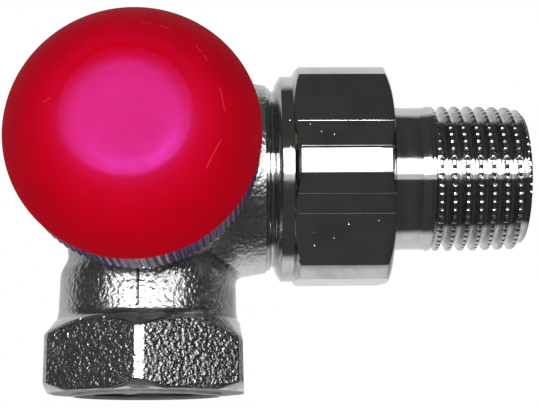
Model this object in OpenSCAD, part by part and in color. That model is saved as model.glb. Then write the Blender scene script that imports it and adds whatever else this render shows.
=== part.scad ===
// Three-axis radiator valve for half-inch pipe, with a screw cap on its head.
// The inlet points down, the outlet union points to +X and the head points to -Y.
// The origin is the centre of the inlet's mouth. All sizes are millimetres.

/* [Layout] */
// Height of the head and outlet axes above the inlet's mouth
axis_h = 31; // [30:0.5:36]

/* [Inlet] */
// Minor diameter of the inlet's female pipe thread
inlet_bore_d = 18.631; // [17:0.001:19.5]
// Length of the inlet's threaded bore with its mouth chamfer
inlet_len = 14; // [12:0.5:15]
// Size of the chamfer at the inlet's mouth
inlet_chamfer = 0.5; // [0.2:0.1:0.8]
// Width across flats of the inlet's hexagon
hex_af = 27; // [26:0.5:30]
// Diameter over the turned corners of the inlet's hexagon
hex_corner_d = 30.3; // [29.5:0.1:31]
// Height at which the upper chamfer leaves the hexagon's flats
hex_top = 10; // [8:0.5:11]
// Width of the raised ring's face round the inlet's mouth
ring_w = 0.68; // [0.4:0.02:1.2]
// Height of the raised ring
ring_proud = 0.4; // [0.2:0.1:0.8]

/* [Body casting] */
// Thickness of the neck's wall round the inlet's thread
neck_wall = 3.03; // [2:0.01:4]
// Radius of the fillet between the hexagon's top and the neck
neck_fillet = 2.4; // [1:0.1:3]
// Drop from the head axis to the shoulder where the neck narrows
shoulder_drop = 14; // [12:0.5:16]
// Height of the sloping shoulder
shoulder_len = 2.3; // [1:0.1:4]
// Step from the neck in to the chest above the shoulder
chest_step = 1.05; // [0.2:0.05:1.5]
// Thickness of the head barrel's wall round the insert's thread
barrel_wall = 2.75; // [2:0.05:3.5]
// Length of the head barrel from the vertical axis to its mouth
barrel_len = 17; // [16:0.5:20]
// Step from the spigot out to the end of the outlet boss
boss_step = 0.38; // [0.2:0.01:1]
// Step from the end of the outlet boss out to its full size
boss_swell = 0.65; // [0.2:0.05:1.2]
// Length of the outlet boss from the vertical axis
boss_len = 16.75; // [15:0.25:18]
// Length of the slope at each end of the outlet boss
boss_slope = 4.5; // [2:0.5:6]

/* [Water ways] */
// Diameter of the rising passage from the inlet to the seat
rise_d = 9.2; // [8:0.1:9.6]
// Diameter of the hole through the seat
seat_d = 10.4; // [9:0.1:11]
// Thickness of the wall that carries the seat
seat_wall = 1.5; // [1:0.1:2.5]
// Height of the seat's lip
lip_h = 0.6; // [0.3:0.1:1]
// Width of the seat's lip
lip_w = 1.2; // [0.6:0.1:1.6]
// Step from the insert's thread in to the chamber in front of the seat
chamber_step = 1.4; // [0.8:0.1:2]
// Diameter of the outlet passage
outlet_bore_d = 15; // [13:0.1:16]
// Distance of the outlet passage's inner end from the vertical axis
outlet_root = 7.4; // [7:0.1:8.5]

/* [Outlet spigot] */
// Diameter of the spigot's male pipe thread
spigot_d = 26.441; // [26:0.001:26.6]
// Reach of the spigot's face from the vertical axis
spigot_len = 28; // [26:0.5:31]
// Pitch of the pipe threads
pipe_pitch = 1.814; // [1.5:0.001:2]
// Depth of the pipe threads
pipe_thread_depth = 1.162; // [0.8:0.001:1.3]
// Depth of the turned groove behind the spigot's thread
spigot_groove = 0.52; // [0.2:0.02:1]
// Depth of the cone that receives the tail's nose
socket_depth = 2.6; // [1.5:0.1:3.2]

/* [Union nut] */
// Thickness of the nut's wall at its flats, round the spigot
nut_flat_wall = 1.7; // [1.2:0.1:3]
// Height of the nut's turned corners above its flats
nut_corner_step = 1.4; // [0.8:0.1:2]
// Thickness of the nut's wall at its round collar
nut_collar_wall = 1.5; // [1:0.1:2.5]
// Length of the nut's collar with its cone
nut_collar_len = 2.4; // [1.5:0.1:4]
// Length of the cone at the collar's end
nut_cone = 0.7; // [0.3:0.1:1.2]
// Gap between the outlet boss and the nut
nut_gap = 1.3; // [0.8:0.1:2]
// Thickness of the nut's end wall
nut_wall = 2.9; // [2:0.1:4]
// Angle by which one corner of the nut lies below the level at the front
nut_turn = 3.6; // [0:0.2:30]

/* [Tail] */
// Step from the spigot in to the tail's flange
flange_step = 1.32; // [0.8:0.02:2]
// Thickness of the tail's flange
flange_t = 3.1; // [2:0.1:4]
// Diameter of the tail's plain neck
tail_neck_d = 20.9; // [20:0.05:21.2]
// Length of neck that shows between the nut and the tail's thread
neck_show = 6.2; // [4:0.1:9]
// Length of the tail's tapered thread
tail_thread_len = 13.2; // [11:0.1:15]
// Major diameter of the tapered thread at its gauge plane
gauge_d = 20.955; // [20.9:0.001:21]
// Distance of the gauge plane from the tail's end
gauge_len = 8.2; // [7:0.1:9]
// Growth in diameter for each millimetre of the tapered thread
taper = 0.0625; // [0.05:0.0005:0.07]
// Diameter of the water way through the tail
tail_bore_d = 15.2; // [13.5:0.1:15.6]
// Chamfer at the tail's end
tail_chamfer = 0.45; // [0.2:0.05:0.6]
// Cross-section diameter of the tail's sealing ring
tail_seal_t = 1.2; // [1:0.05:1.3]
// Thickness of the nose's wall under the sealing ring's groove
nose_wall = 0.72; // [0.5:0.02:1.2]

/* [Valve insert] */
// Diameter of the thread that holds the insert in the barrel
insert_thread_d = 22; // [21:0.1:23]
// Width across flats of the insert's flange
insert_af = 27; // [26:0.5:28]
// Thickness of the insert's flange
insert_flange_t = 3.4; // [2.5:0.1:5]
// Diameter of the thread that takes the cap or an actuator
head_thread_d = 28; // [27.5:0.1:28.4]
// Pitch of that thread
head_pitch = 1.5; // [1.2:0.1:1.8]
// Depth of that thread
head_thread_depth = 0.92; // [0.6:0.01:1]
// Length of the insert's nose that carries that thread, beyond the flange
head_nose_len = 8.9; // [8.4:0.1:11]
// Thickness of the insert's inner wall, which holds the guide bush
guide_wall = 1.5; // [1:0.1:3]
// Diameter of the insert's spring chamber
spring_room_d = 10.4; // [10:0.1:11]
// Cross-section diameter of the insert's sealing ring
insert_seal_t = 1.44; // [1.2:0.02:1.6]
// Thickness of the guide bush's wall
bush_wall = 1.02; // [0.6:0.02:1.6]

/* [Gland] */
// Diameter of the gland nut's thread
gland_d = 12; // [11.5:0.1:13]
// Step from the gland nut's thread out to its head's flats
gland_step = 0.5; // [0.2:0.1:1.5]
// Height of the gland nut's head
gland_head = 2.2; // [1.5:0.1:3]
// Cross-section diameter of the gland's sealing ring
gland_seal_t = 1.5; // [1:0.05:1.6]

/* [Stem] */
// Diameter of the spindle
spindle_d = 5; // [4.6:0.1:5.4]
// Diameter of the spindle's thin end, which carries the valve disc
stud_d = 3; // [2.5:0.1:3.4]
// Diameter of the pressure pin
pin_d = 3.5; // [3:0.1:4]
// Distance of the seal from the seat as the cap stands
lift = 1; // [0.8:0.1:1.4]
// Further opening travel of the stem
open_travel = 1.5; // [1:0.1:2]
// Distance from the stem's moving ends to their stops at full travel
stop_gap = 0.6; // [0.3:0.1:1]
// Diameter of the rubber seal
seal_d = 14.4; // [13.4:0.1:15]
// Thickness of the rubber seal
seal_t = 2; // [1.5:0.1:2.5]
// Thickness of the wall round and behind the seal
plate_wall = 1.2; // [0.8:0.1:1.4]
// Part of the seal's thickness that stands out of its plate
seal_proud = 0.6; // [0.3:0.1:0.9]
// Diameter of the washer that holds the seal
washer_d = 7.2; // [6.4:0.1:8]
// Thickness of that washer
washer_t = 0.4; // [0.3:0.1:0.8]
// Width across flats of the small nut on the stud
stud_nut_af = 5.5; // [5:0.1:6]
// Height of the small nut
stud_nut_h = 1.6; // [1.2:0.1:2.4]
// Diameter of the spring's wire
wire_d = 0.8; // [0.6:0.05:1]
// Length of the return spring as the cap stands
spring_len = 7.9; // [7:0.1:10]
// Number of the spring's open turns
spring_turns = 4; // [3:1:5]
// Thickness of the spring plate
spring_plate_t = 0.8; // [0.5:0.1:1.2]
// Thickness of the retaining clip
clip_t = 0.6; // [0.4:0.1:1]
// Outer diameter of the retaining clip
clip_d = 7.6; // [7:0.1:8.4]

/* [Cap] */
// Thickness of the grip ring's collar inside the cap
collar_wall = 0.67; // [0.5:0.01:1.5]
// Thickness of the cap's skirt outside that collar
skirt_wall = 1.2; // [0.8:0.1:2]
// Height of the rounded edge from the grip ring to the cap's top
dome_h = 9.2; // [8.6:0.1:12]
// Width of the rounded edge from the cap's side to its flat top
dome_run = 9.25; // [7:0.05:11]
// Angle on its ellipse at which the rounded edge starts; more makes the side lean in more
dome_from = 36.5; // [30:0.5:45]
// Depth of the shallow dish in the cap's top
dish = 0.15; // [0.1:0.05:0.6]
// Thickness of the cap's wall
cap_wall = 1.6; // [1.2:0.1:2]
// Diameter of the boss inside the cap that presses on the pin
cap_boss_d = 9; // [6:0.5:12]
// Gap between the insert's flange and the thread in the grip ring
cap_gap = 1.6; // [1.5:0.1:3]
// Length of the grip ring with its skirt
grip_len = 8.5; // [8:0.1:10]
// Length of the skirt at the grip ring's back, which reaches over the insert's flange
grip_skirt = 2.5; // [1:0.1:2.5]
// Step from the cap's edge in to the grip ring
grip_step = 0.1; // [0:0.05:0.5]
// Number of flutes round the grip ring
flute_count = 100; // [60:2:120]
// Depth of the flutes
flute_depth = 0.35; // [0.1:0.05:0.5]
// Height of the collar on the grip ring that the cap snaps over
collar_h = 1.4; // [1:0.1:2]

/* [Fits] */
// Radial clearance of threads that hold still
thread_fit = 0.05; // [0.02:0.01:0.1]
// Radial clearance of what turns or slides
running_fit = 0.08; // [0.05:0.01:0.1]
// Gap between the tail's nose and the spigot's cone
joint_gap = 0.1; // [0.06:0.01:0.2]

/* [Hidden] */
$fn = 96;
// Number of straight steps in a rounded profile
arc_steps = 14;
// How far a cutting shape runs past the face that it cuts
over = 0.5;
// Width of small edge breaks
edge = 0.4;
// Share of a thread's pitch at which its crest starts and ends
crest_from = 0.35;
crest_to = 0.65;

plated_cast = [0.62, 0.62, 0.60];
plated = [0.78, 0.78, 0.77];
brass = [0.80, 0.66, 0.36];
steel = [0.66, 0.67, 0.70];
black_rubber = [0.10, 0.10, 0.11];
ivory = [0.90, 0.88, 0.80];
red = [0.78, 0.00, 0.08];
violet = [0.32, 0.24, 0.40];

// Diameters that follow from the bores and threads
ring_d = inlet_bore_d + 2 * (inlet_chamfer + ring_w);
neck_d = inlet_bore_d + 2 * neck_wall;
chest_d = neck_d - 2 * chest_step;
barrel_bore_d = insert_thread_d + 2 * thread_fit;
barrel_d = barrel_bore_d + 2 * barrel_wall;
chamber_d = insert_thread_d - 2 * chamber_step;
boss_end_d = spigot_d + 2 * boss_step;
boss_d = boss_end_d + 2 * boss_swell;
spigot_groove_d = spigot_d - 2 * spigot_groove;
nut_bore_d = spigot_d + 2 * running_fit;
nut_af = nut_bore_d + 2 * nut_flat_wall;
nut_corner_d = nut_af + 2 * nut_corner_step;
nut_collar_d = nut_bore_d + 2 * nut_collar_wall;
flange_d = spigot_d - 2 * flange_step;
nose_len = socket_depth - 2 * joint_gap;
nose_tip_r = tail_bore_d / 2 + nose_wall + 1.25 * tail_seal_t - nose_len / 2;
nose_foot_r = nose_tip_r + nose_len;
socket_mouth_r = nose_foot_r + joint_gap;
bush_d = spindle_d + 2 * (running_fit + bush_wall);
gland_af = gland_d + 2 * gland_step;
cap_d = head_thread_d + 2 * (running_fit + collar_wall + skirt_wall);
grip_d = cap_d - 2 * grip_step;
skirt_bore_d = insert_af + 6 * edge;

// Places along the head axis, from the vertical axis outwards
lip_top = seat_wall + lip_h;
seal_face = lip_top + lift;
seal_back = seal_face + seal_t;
plate_back = seal_back + plate_wall;
insert_in = plate_back + open_travel + stop_gap;
spring_foot = insert_in + guide_wall;
spring_head = spring_foot + spring_len;
clip_at = spring_head + spring_plate_t;
gland_in = clip_at + clip_t + open_travel + stop_gap;
spindle_top = gland_in + 2 * over + open_travel;
flange_top = barrel_len + insert_flange_t;
insert_out = flange_top + head_nose_len;
gland_out = insert_out + gland_head;
pin_tip = gland_out + lift + stop_gap;
cap_thread_in = flange_top + cap_gap;
cap_back = cap_thread_in - grip_skirt;
cap_seam = cap_back + grip_len;
cap_top = cap_seam + dome_h;

// Places along the outlet axis, from the vertical axis outwards
nut_in = boss_len + nut_gap;
tail_in = spigot_len + joint_gap;
flange_out = tail_in + flange_t;
nut_out = flange_out + nut_wall;
thread_in = nut_out + neck_show;
tail_out = thread_in + tail_thread_len;

// Points along a quarter of an ellipse, from angle a0 to a1, about a centre
function bend(centre, run, rise, a0, a1) =
    [for (k = [0 : arc_steps]) let (a = a0 + (a1 - a0) * k / arc_steps)
        [centre[0] + run * cos(a), centre[1] + rise * sin(a)]];

// Profile points of a row of thread ridges, where radius(z) gives the crest
function ridges(from, count, pitch, depth, radius) =
    [for (k = [0 : count - 1], p = [[0, 1], [crest_from, 0], [crest_to, 0], [1, 1]])
        let (z = from + (k + p[0] * (1 - 1e-6)) * pitch)
        [radius(z) - depth * p[1], z]];

// Regular hexagonal prism along Z, with a corner on the Y axis
module hexagon(af, from, to) {
    translate([0, 0, from]) rotate([0, 0, 90])
        cylinder(d = af / cos(30), h = to - from, $fn = 6);
}

module turned(points) {
    rotate_extrude() polygon(points);
}

// Round bore or bar along Z between two places
module bar(d, from, to) {
    translate([0, 0, from]) cylinder(d = d, h = to - from);
}

// O-ring about Z at a place
module seal_ring(mean_d, thickness, at) {
    translate([0, 0, at]) rotate_extrude() translate([mean_d / 2, 0]) circle(d = thickness, $fn = 32);
}

// Turns a shape made along +Z onto the head axis
module on_head_axis() {
    translate([0, 0, axis_h]) rotate([90, 0, 0]) children();
}

// Turns a shape made along +Z onto the outlet axis
module on_outlet_axis() {
    translate([0, 0, axis_h]) rotate([0, 90, 0]) children();
}

// Hexagon of the inlet with turned, chamfered corners
module inlet_hexagon() {
    corner_r = hex_corner_d / 2;
    flat_r = hex_af / 2;
    chamfer_low = (corner_r - flat_r) * tan(30);
    chamfer_high = (corner_r - flat_r) * tan(35);
    foot_r = neck_d / 2 + neck_fillet / 4;
    intersection() {
        hexagon(hex_af, ring_proud, hex_top + neck_fillet);
        turned([[0, ring_proud], [flat_r - edge, ring_proud], [corner_r, ring_proud + chamfer_low + edge / 2],
            [corner_r, hex_top - chamfer_high], [flat_r, hex_top],
            [foot_r, hex_top + (flat_r - foot_r) * tan(35)], [0, hex_top + (flat_r - foot_r) * tan(35)]]);
    }
}

// Neck and chest, with the fillet above the hexagon and the shoulder under the barrel
module neck_and_chest() {
    neck_r = neck_d / 2;
    shoulder_z = axis_h - shoulder_drop;
    turned(concat([[0, hex_top / 2], [neck_r + neck_fillet / 4, hex_top / 2]],
        bend([neck_r + neck_fillet, hex_top + neck_fillet + edge], -neck_fillet, -neck_fillet, 45, 0),
        [[neck_r, shoulder_z], [chest_d / 2, shoulder_z + shoulder_len],
        [chest_d / 2, axis_h], [0, axis_h]]));
}

// Head barrel with its round back
module barrel() {
    r = barrel_d / 2;
    on_head_axis() {
        sphere(d = barrel_d);
        turned([[0, 0], [r, 0], [r, barrel_len - edge], [r - edge, barrel_len], [0, barrel_len]]);
    }
}

// Outlet boss, turned collar and male thread
module outlet_spigot() {
    spigot_r = spigot_d / 2;
    ridge_count = floor((spigot_len - nut_in) / pipe_pitch);
    thread_from = spigot_len - edge / 2 - ridge_count * pipe_pitch;
    groove_at = boss_len + nut_gap / 2;
    on_outlet_axis() turned(concat([[0, 0], [barrel_d / 2, 0], [boss_d / 2, boss_slope],
        [boss_d / 2, boss_len - boss_slope],
        [boss_end_d / 2, boss_len], [spigot_r, boss_len], [spigot_r, groove_at - edge / 2],
        [spigot_groove_d / 2, groove_at], [spigot_r, groove_at + edge / 2],
        [spigot_r, thread_from - edge / 2]],
        ridges(thread_from, ridge_count, pipe_pitch, pipe_thread_depth, function (z) spigot_r),
        [[spigot_r - pipe_thread_depth, spigot_len], [0, spigot_len]]));
}

// Seat lip round the hole through the seat wall
module seat_lip() {
    on_head_axis() bar(seat_d + 2 * lip_w, seat_wall - over, lip_top);
}

module inlet_ways() {
    bore_r = inlet_bore_d / 2;
    turned([[0, -over], [bore_r + inlet_chamfer, -over], [bore_r + inlet_chamfer, 0],
        [bore_r, inlet_chamfer], [bore_r, inlet_len], [0, inlet_len + bore_r * tan(20)]]);
    translate([0, rise_d / 2, inlet_len - over]) cylinder(d = rise_d, h = axis_h + seat_d / 2 - inlet_len);
    on_head_axis() bar(seat_d, -rise_d / 2, lip_top + over);
}

module head_ways() {
    on_head_axis() {
        difference() {
            bar(chamber_d, seat_wall, barrel_len);
            bar(seat_d + 2 * lip_w, seat_wall - over, lip_top);
        }
        bar(barrel_bore_d, insert_in - stop_gap / 2, barrel_len + over);
    }
}

module outlet_ways() {
    bore_r = outlet_bore_d / 2;
    mouth_r = socket_mouth_r;
    on_outlet_axis() turned([[0, outlet_root], [bore_r, outlet_root], [bore_r, spigot_len - socket_depth],
        [mouth_r - socket_depth, spigot_len - socket_depth], [mouth_r, spigot_len],
        [mouth_r, spigot_len + over], [0, spigot_len + over]]);
}

module valve_body() {
    color(plated_cast) difference() {
        union() {
            bar(ring_d, 0, hex_top / 2);
            inlet_hexagon();
            neck_and_chest();
            barrel();
            outlet_spigot();
        }
        inlet_ways();
        head_ways();
        outlet_ways();
    }
}

// Housing of the insert: inner wall, holding thread, hexagonal flange and head thread
module insert_housing() {
    hold_r = insert_thread_d / 2;
    head_r = head_thread_d / 2;
    groove_in = barrel_len - 2 * edge - 1.1 * insert_seal_t;
    relief = head_r - head_thread_depth - edge / 2;
    flat_r = insert_af / 2;
    ridge_count = floor((head_nose_len - 2 * edge) / head_pitch);
    thread_from = insert_out - edge - ridge_count * head_pitch;
    color(brass) on_head_axis() difference() {
        union() {
            turned(concat([[0, insert_in], [hold_r - 2 * edge, insert_in], [hold_r - edge, insert_in + edge],
                [hold_r, insert_in + 2 * edge], [hold_r, groove_in], [hold_r - insert_seal_t, groove_in],
                [hold_r - insert_seal_t, barrel_len - 2 * edge], [hold_r, barrel_len - 2 * edge],
                [hold_r, flange_top - edge], [relief, flange_top - edge], [relief, thread_from - edge]],
                ridges(thread_from, ridge_count, head_pitch, head_thread_depth, function (z) head_r),
                [[head_r - head_thread_depth, insert_out], [0, insert_out]]));
            intersection() {
                hexagon(insert_af, barrel_len, flange_top);
                turned([[0, barrel_len], [flat_r, barrel_len], [flat_r + 2 * edge, barrel_len + edge],
                    [flat_r + 2 * edge, flange_top - edge], [flat_r, flange_top], [0, flange_top]]);
            }
        }
        bar(bush_d, insert_in - over, spring_foot + over);
        bar(spring_room_d, spring_foot, insert_out);
        bar(gland_d + 2 * thread_fit, gland_in, insert_out + over);
    }
}

module insert_o_ring() {
    ring_mid = barrel_len - 2 * edge - 0.55 * insert_seal_t;
    color(black_rubber) on_head_axis() seal_ring(insert_thread_d - insert_seal_t, insert_seal_t, ring_mid);
}

module guide_bush() {
    color(ivory) on_head_axis() difference() {
        bar(bush_d, insert_in, spring_foot);
        bar(spindle_d + 2 * running_fit, insert_in - over, spring_foot + over);
    }
}

// Gland nut with its recess for the spindle and its groove for the sealing ring
module gland_nut() {
    groove_in = insert_out - 1.05 * gland_seal_t;
    pin_bore_d = pin_d + 2 * running_fit;
    flat_r = gland_af / 2;
    color(brass) on_head_axis() difference() {
        union() {
            bar(gland_d, gland_in, insert_out + edge / 2);
            intersection() {
                hexagon(gland_af, insert_out, gland_out);
                turned([[0, insert_out], [flat_r + edge, insert_out], [flat_r + edge, gland_out - edge],
                    [flat_r - edge / 2, gland_out], [0, gland_out]]);
            }
        }
        bar(spindle_d + 2 * edge, gland_in - over, spindle_top + open_travel + edge);
        bar(pin_bore_d, gland_in, gland_out + over);
        bar(pin_bore_d + 2 * gland_seal_t, groove_in, groove_in + 1.1 * gland_seal_t);
    }
}

module gland_o_ring() {
    color(black_rubber) on_head_axis()
        seal_ring(pin_d + 2 * running_fit + gland_seal_t, gland_seal_t, insert_out - gland_seal_t / 2);
}

// Points of a ring of the spring's wire at turn t, at radius r from the spring's axis
function wire_ring(r, z, a) =
    [for (k = [0 : 7]) let (b = 45 * k)
        [(r + wire_d / 2 * cos(b)) * cos(a), (r + wire_d / 2 * cos(b)) * sin(a), z + wire_d / 2 * sin(b)]];

// Height of the wire's centre at a number of turns: one closed turn at each end, open turns between
function wire_rise(t, total) =
    let (closed = wire_d * 1.06, open_len = spring_len - wire_d - 2 * closed)
    t < 1 ? closed * t : t > total - 1 ? closed + open_len + closed * (t - total + 1)
    : closed + open_len * (t - 1) / (total - 2);

module return_spring() {
    turns = spring_turns + 2;
    steps = 24 * turns;
    coil_r = (spring_room_d - 2 * edge - wire_d) / 2;
    foot = spring_foot + wire_d / 2;
    rings = [for (s = [0 : steps]) wire_ring(coil_r, foot + wire_rise(s / 24, turns), 15 * s)];
    points = [for (ring = rings, p = ring) p];
    sides = [for (s = [0 : steps - 1], k = [0 : 7]) let (n = (k + 1) % 8)
        each [[8 * s + k, 8 * (s + 1) + k, 8 * (s + 1) + n], [8 * s + k, 8 * (s + 1) + n, 8 * s + n]]];
    color(steel) on_head_axis() polyhedron(points,
        concat(sides, [[for (k = [0 : 7]) k], [for (k = [7 : -1 : 0]) 8 * steps + k]]));
}

module spindle() {
    color(brass) on_head_axis() difference() {
        union() {
            bar(stud_d, seal_face - washer_t - stud_nut_h - edge / 2, plate_back + over);
            bar(spindle_d, plate_back, spindle_top);
        }
        difference() {
            bar(spindle_d + 2 * over, clip_at, clip_at + clip_t);
            bar(spindle_d - 2 * edge, clip_at - over, clip_at + clip_t + over);
        }
    }
}

module pressure_pin() {
    r = pin_d / 2;
    color(steel) on_head_axis()
        turned([[0, spindle_top], [r, spindle_top], [r, pin_tip - edge], [r - edge, pin_tip], [0, pin_tip]]);
}

module spring_plate() {
    color(steel) on_head_axis() difference() {
        bar(spring_room_d - 2 * edge, spring_head, clip_at);
        bar(spindle_d, spring_head - over, clip_at + over);
    }
}

// Open clip in the spindle's groove
module spindle_clip() {
    color(steel) on_head_axis() difference() {
        bar(clip_d, clip_at, clip_at + clip_t);
        bar(spindle_d - 2 * edge, clip_at - over, clip_at + clip_t + over);
        translate([0, edge - spindle_d / 2, clip_at - over])
            cube([clip_d, spindle_d - 2 * edge, clip_t + 2 * over]);
    }
}

// Cup that carries the rubber seal
module valve_plate() {
    color(brass) on_head_axis() difference() {
        bar(seal_d + plate_wall, seal_face + seal_proud, plate_back);
        bar(seal_d, seal_face, seal_back);
        bar(stud_d, seal_face, plate_back + over);
    }
}

module valve_seal() {
    color(black_rubber) on_head_axis() difference() {
        bar(seal_d, seal_face, seal_back);
        bar(stud_d, seal_face - over, seal_back + over);
    }
}

module seal_washer() {
    color(steel) on_head_axis() difference() {
        bar(washer_d, seal_face - washer_t, seal_face);
        bar(stud_d, seal_face - washer_t - over, seal_face + over);
    }
}

module stud_nut() {
    color(brass) on_head_axis() difference() {
        hexagon(stud_nut_af, seal_face - washer_t - stud_nut_h, seal_face - washer_t);
        bar(stud_d, seal_face - washer_t - stud_nut_h - over, seal_face + over);
    }
}

// Fluted ring that screws on the insert, with the collar that the cap snaps over and a skirt, bored
// wider, that clears the insert's flange
module grip_ring() {
    outer_r = grip_d / 2;
    flutes = [for (k = [0 : 2 * flute_count - 1]) let (a = 180 * k / flute_count)
        (outer_r - (k % 2) * flute_depth) * [cos(a), sin(a)]];
    color(violet) on_head_axis() difference() {
        union() {
            intersection() {
                translate([0, 0, cap_back]) linear_extrude(grip_len) polygon(flutes);
                turned([[0, cap_back], [outer_r - edge, cap_back], [outer_r + over, cap_back + edge + over],
                    [outer_r + over, cap_seam + over], [0, cap_seam + over]]);
            }
            bar(cap_d - 2 * skirt_wall, cap_seam - over, cap_seam + collar_h);
        }
        bar(head_thread_d + 2 * running_fit, cap_back - over, cap_seam + collar_h + over);
        bar(skirt_bore_d, cap_back - over, cap_thread_in);
    }
}

// Red cap: a shell with an elliptic edge, a shallow dish on top and a boss inside, bored out for
// the end of the insert
module cap_shell() {
    run = dome_run / cos(dome_from);
    rise = dome_h / (1 - sin(dome_from));
    flat_r = cap_d / 2 - dome_run;
    middle = [flat_r, cap_top - rise];
    inner_from = asin((cap_seam + collar_h - middle[1]) / (rise - cap_wall));
    inner = bend(middle, run - cap_wall, rise - cap_wall, inner_from, 90);
    color(red) on_head_axis() {
        difference() {
            turned(concat([[0, cap_seam]], bend(middle, run, rise, dome_from, 90),
                [[flat_r * 0.92, cap_top - dish * 0.25], [flat_r * 0.8, cap_top - dish * 0.7],
                [flat_r * 0.6, cap_top - dish], [0, cap_top - dish]]));
            turned(concat([[0, cap_seam + over], [inner[0][0], cap_seam + over]], inner,
                [[0, cap_top - cap_wall]]));
            bar(cap_d - 2 * skirt_wall, cap_seam - over, cap_seam + collar_h);
            bar(head_thread_d + 2 * running_fit, cap_seam, insert_out + lift + edge);
        }
        bar(cap_boss_d, pin_tip, cap_top - dish - cap_wall / 2);
    }
}

// Union nut: round collar, chamfered hexagon, female thread and end wall
module union_nut() {
    flat_r = nut_af / 2;
    corner_r = nut_corner_d / 2;
    collar_r = nut_collar_d / 2;
    bore_r = nut_bore_d / 2;
    chamfer = (corner_r - flat_r) * tan(28);
    hex_in = nut_in + nut_collar_len;
    color(plated) on_outlet_axis() difference() {
        rotate([0, 0, nut_turn]) intersection() {
            hexagon(nut_af, nut_in, nut_out);
            turned([[0, nut_in], [bore_r + edge / 2, nut_in], [collar_r - edge / 4, nut_in + nut_cone],
                [collar_r, nut_in + nut_cone + edge / 4], [collar_r, hex_in],
                [corner_r, hex_in + (corner_r - collar_r) * tan(28)],
                [corner_r, nut_out - chamfer], [flat_r, nut_out], [0, nut_out]]);
        }
        bar(nut_bore_d, nut_in - over, spigot_len + 2 * edge);
        bar(flange_d + edge, nut_in, flange_out);
        bar(tail_neck_d + 2 * running_fit, nut_in, nut_out + over);
    }
}

// Tail: sealing nose, flange, neck and tapered male thread, all round one water way
module union_tail() {
    neck_r = tail_neck_d / 2;
    cone_foot = nose_foot_r;
    groove_mid = tail_in - nose_len / 2;
    groove_r = tail_bore_d / 2 + nose_wall;
    ridge_count = floor(tail_thread_len / pipe_pitch);
    thread_from = tail_out - tail_chamfer - ridge_count * pipe_pitch;
    crest = function (z) min(neck_r, gauge_d / 2 - (z - tail_out + gauge_len) * taper / 2);
    end_r = crest(tail_out) - tail_chamfer;
    color(plated) on_outlet_axis() difference() {
        union() {
            turned(concat([[0, tail_in - nose_len], [cone_foot - nose_len, tail_in - nose_len],
                [cone_foot, tail_in], [flange_d / 2, tail_in], [flange_d / 2, flange_out],
                [neck_r, flange_out], [neck_r, thread_from - edge / 2]],
                ridges(thread_from, ridge_count, pipe_pitch, pipe_thread_depth, crest),
                [[end_r, tail_out - edge / 4], [end_r - edge / 2, tail_out], [0, tail_out]]));
        }
        bar(tail_bore_d, tail_in - nose_len - over, tail_out + over);
        difference() {
            bar(2 * cone_foot, groove_mid - 0.55 * tail_seal_t, groove_mid + 0.55 * tail_seal_t);
            bar(2 * groove_r, groove_mid - tail_seal_t, groove_mid + tail_seal_t);
        }
    }
}

module tail_o_ring() {
    color(black_rubber) on_outlet_axis()
        seal_ring(tail_bore_d + 2 * nose_wall + tail_seal_t, tail_seal_t, tail_in - nose_len / 2);
}

valve_body();
insert_housing();
insert_o_ring();
guide_bush();
gland_nut();
gland_o_ring();
return_spring();
spindle();
pressure_pin();
spring_plate();
spindle_clip();
valve_plate();
valve_seal();
seal_washer();
stud_nut();
grip_ring();
cap_shell();
union_nut();
union_tail();
tail_o_ring();
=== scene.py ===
"""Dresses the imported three-axis radiator valve and sets its studio.

Every length in this file is in millimetres in the frame of the part's solids:
the inlet's mouth is the origin, +Z runs up the inlet's axis, +X along the outlet
and -Y along the head. Meshes are scaled to metres when they are made.
"""

import logging
import math
from dataclasses import dataclass
from enum import Enum
from typing import Iterable, Sequence

import bmesh
import bpy
import numpy as np
from mathutils import Matrix, Vector

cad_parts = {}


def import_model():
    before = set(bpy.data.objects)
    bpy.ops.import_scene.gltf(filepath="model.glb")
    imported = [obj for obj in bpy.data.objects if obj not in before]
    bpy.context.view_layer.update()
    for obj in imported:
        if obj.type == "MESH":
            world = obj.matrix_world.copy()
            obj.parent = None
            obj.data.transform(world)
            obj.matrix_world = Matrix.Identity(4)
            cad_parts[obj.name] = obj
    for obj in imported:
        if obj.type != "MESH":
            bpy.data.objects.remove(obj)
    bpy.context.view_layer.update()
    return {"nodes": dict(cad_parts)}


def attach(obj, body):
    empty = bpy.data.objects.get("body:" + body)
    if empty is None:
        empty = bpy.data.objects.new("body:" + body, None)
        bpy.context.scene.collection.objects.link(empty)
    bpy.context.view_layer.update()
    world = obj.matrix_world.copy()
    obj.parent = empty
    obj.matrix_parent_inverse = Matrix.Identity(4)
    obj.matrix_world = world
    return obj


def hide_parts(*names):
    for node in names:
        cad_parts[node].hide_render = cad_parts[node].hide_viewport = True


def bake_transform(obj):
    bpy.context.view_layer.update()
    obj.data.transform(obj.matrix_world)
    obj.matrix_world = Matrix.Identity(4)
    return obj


LOG = logging.getLogger("radiator_valve")
MM = 0.001
TAU = 2 * math.pi
AXIS_H = 31.0
PIPE_PITCH = 1.814
PIPE_DEPTH = 1.162

Array = np.ndarray
Point = tuple[float, float]
Colour = tuple[float, float, float]
Object, Material = bpy.types.Object, bpy.types.Material
Tree, Node, Socket = bpy.types.NodeTree, bpy.types.Node, bpy.types.NodeSocket
Value = float | Socket


class Axis(Enum):
    """The lines that shapes are turned about, by the number of their coordinate."""

    OUTLET = 0
    HEAD = 1
    INLET = 2


class Slot(Enum):
    """The record's material slots, named for the new pieces."""

    CASTING = "plated_casting"
    TURNED = "plated_turned"
    RED = "red_plastic"
    VIOLET = "violet_plastic"


# Shapes


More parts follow.
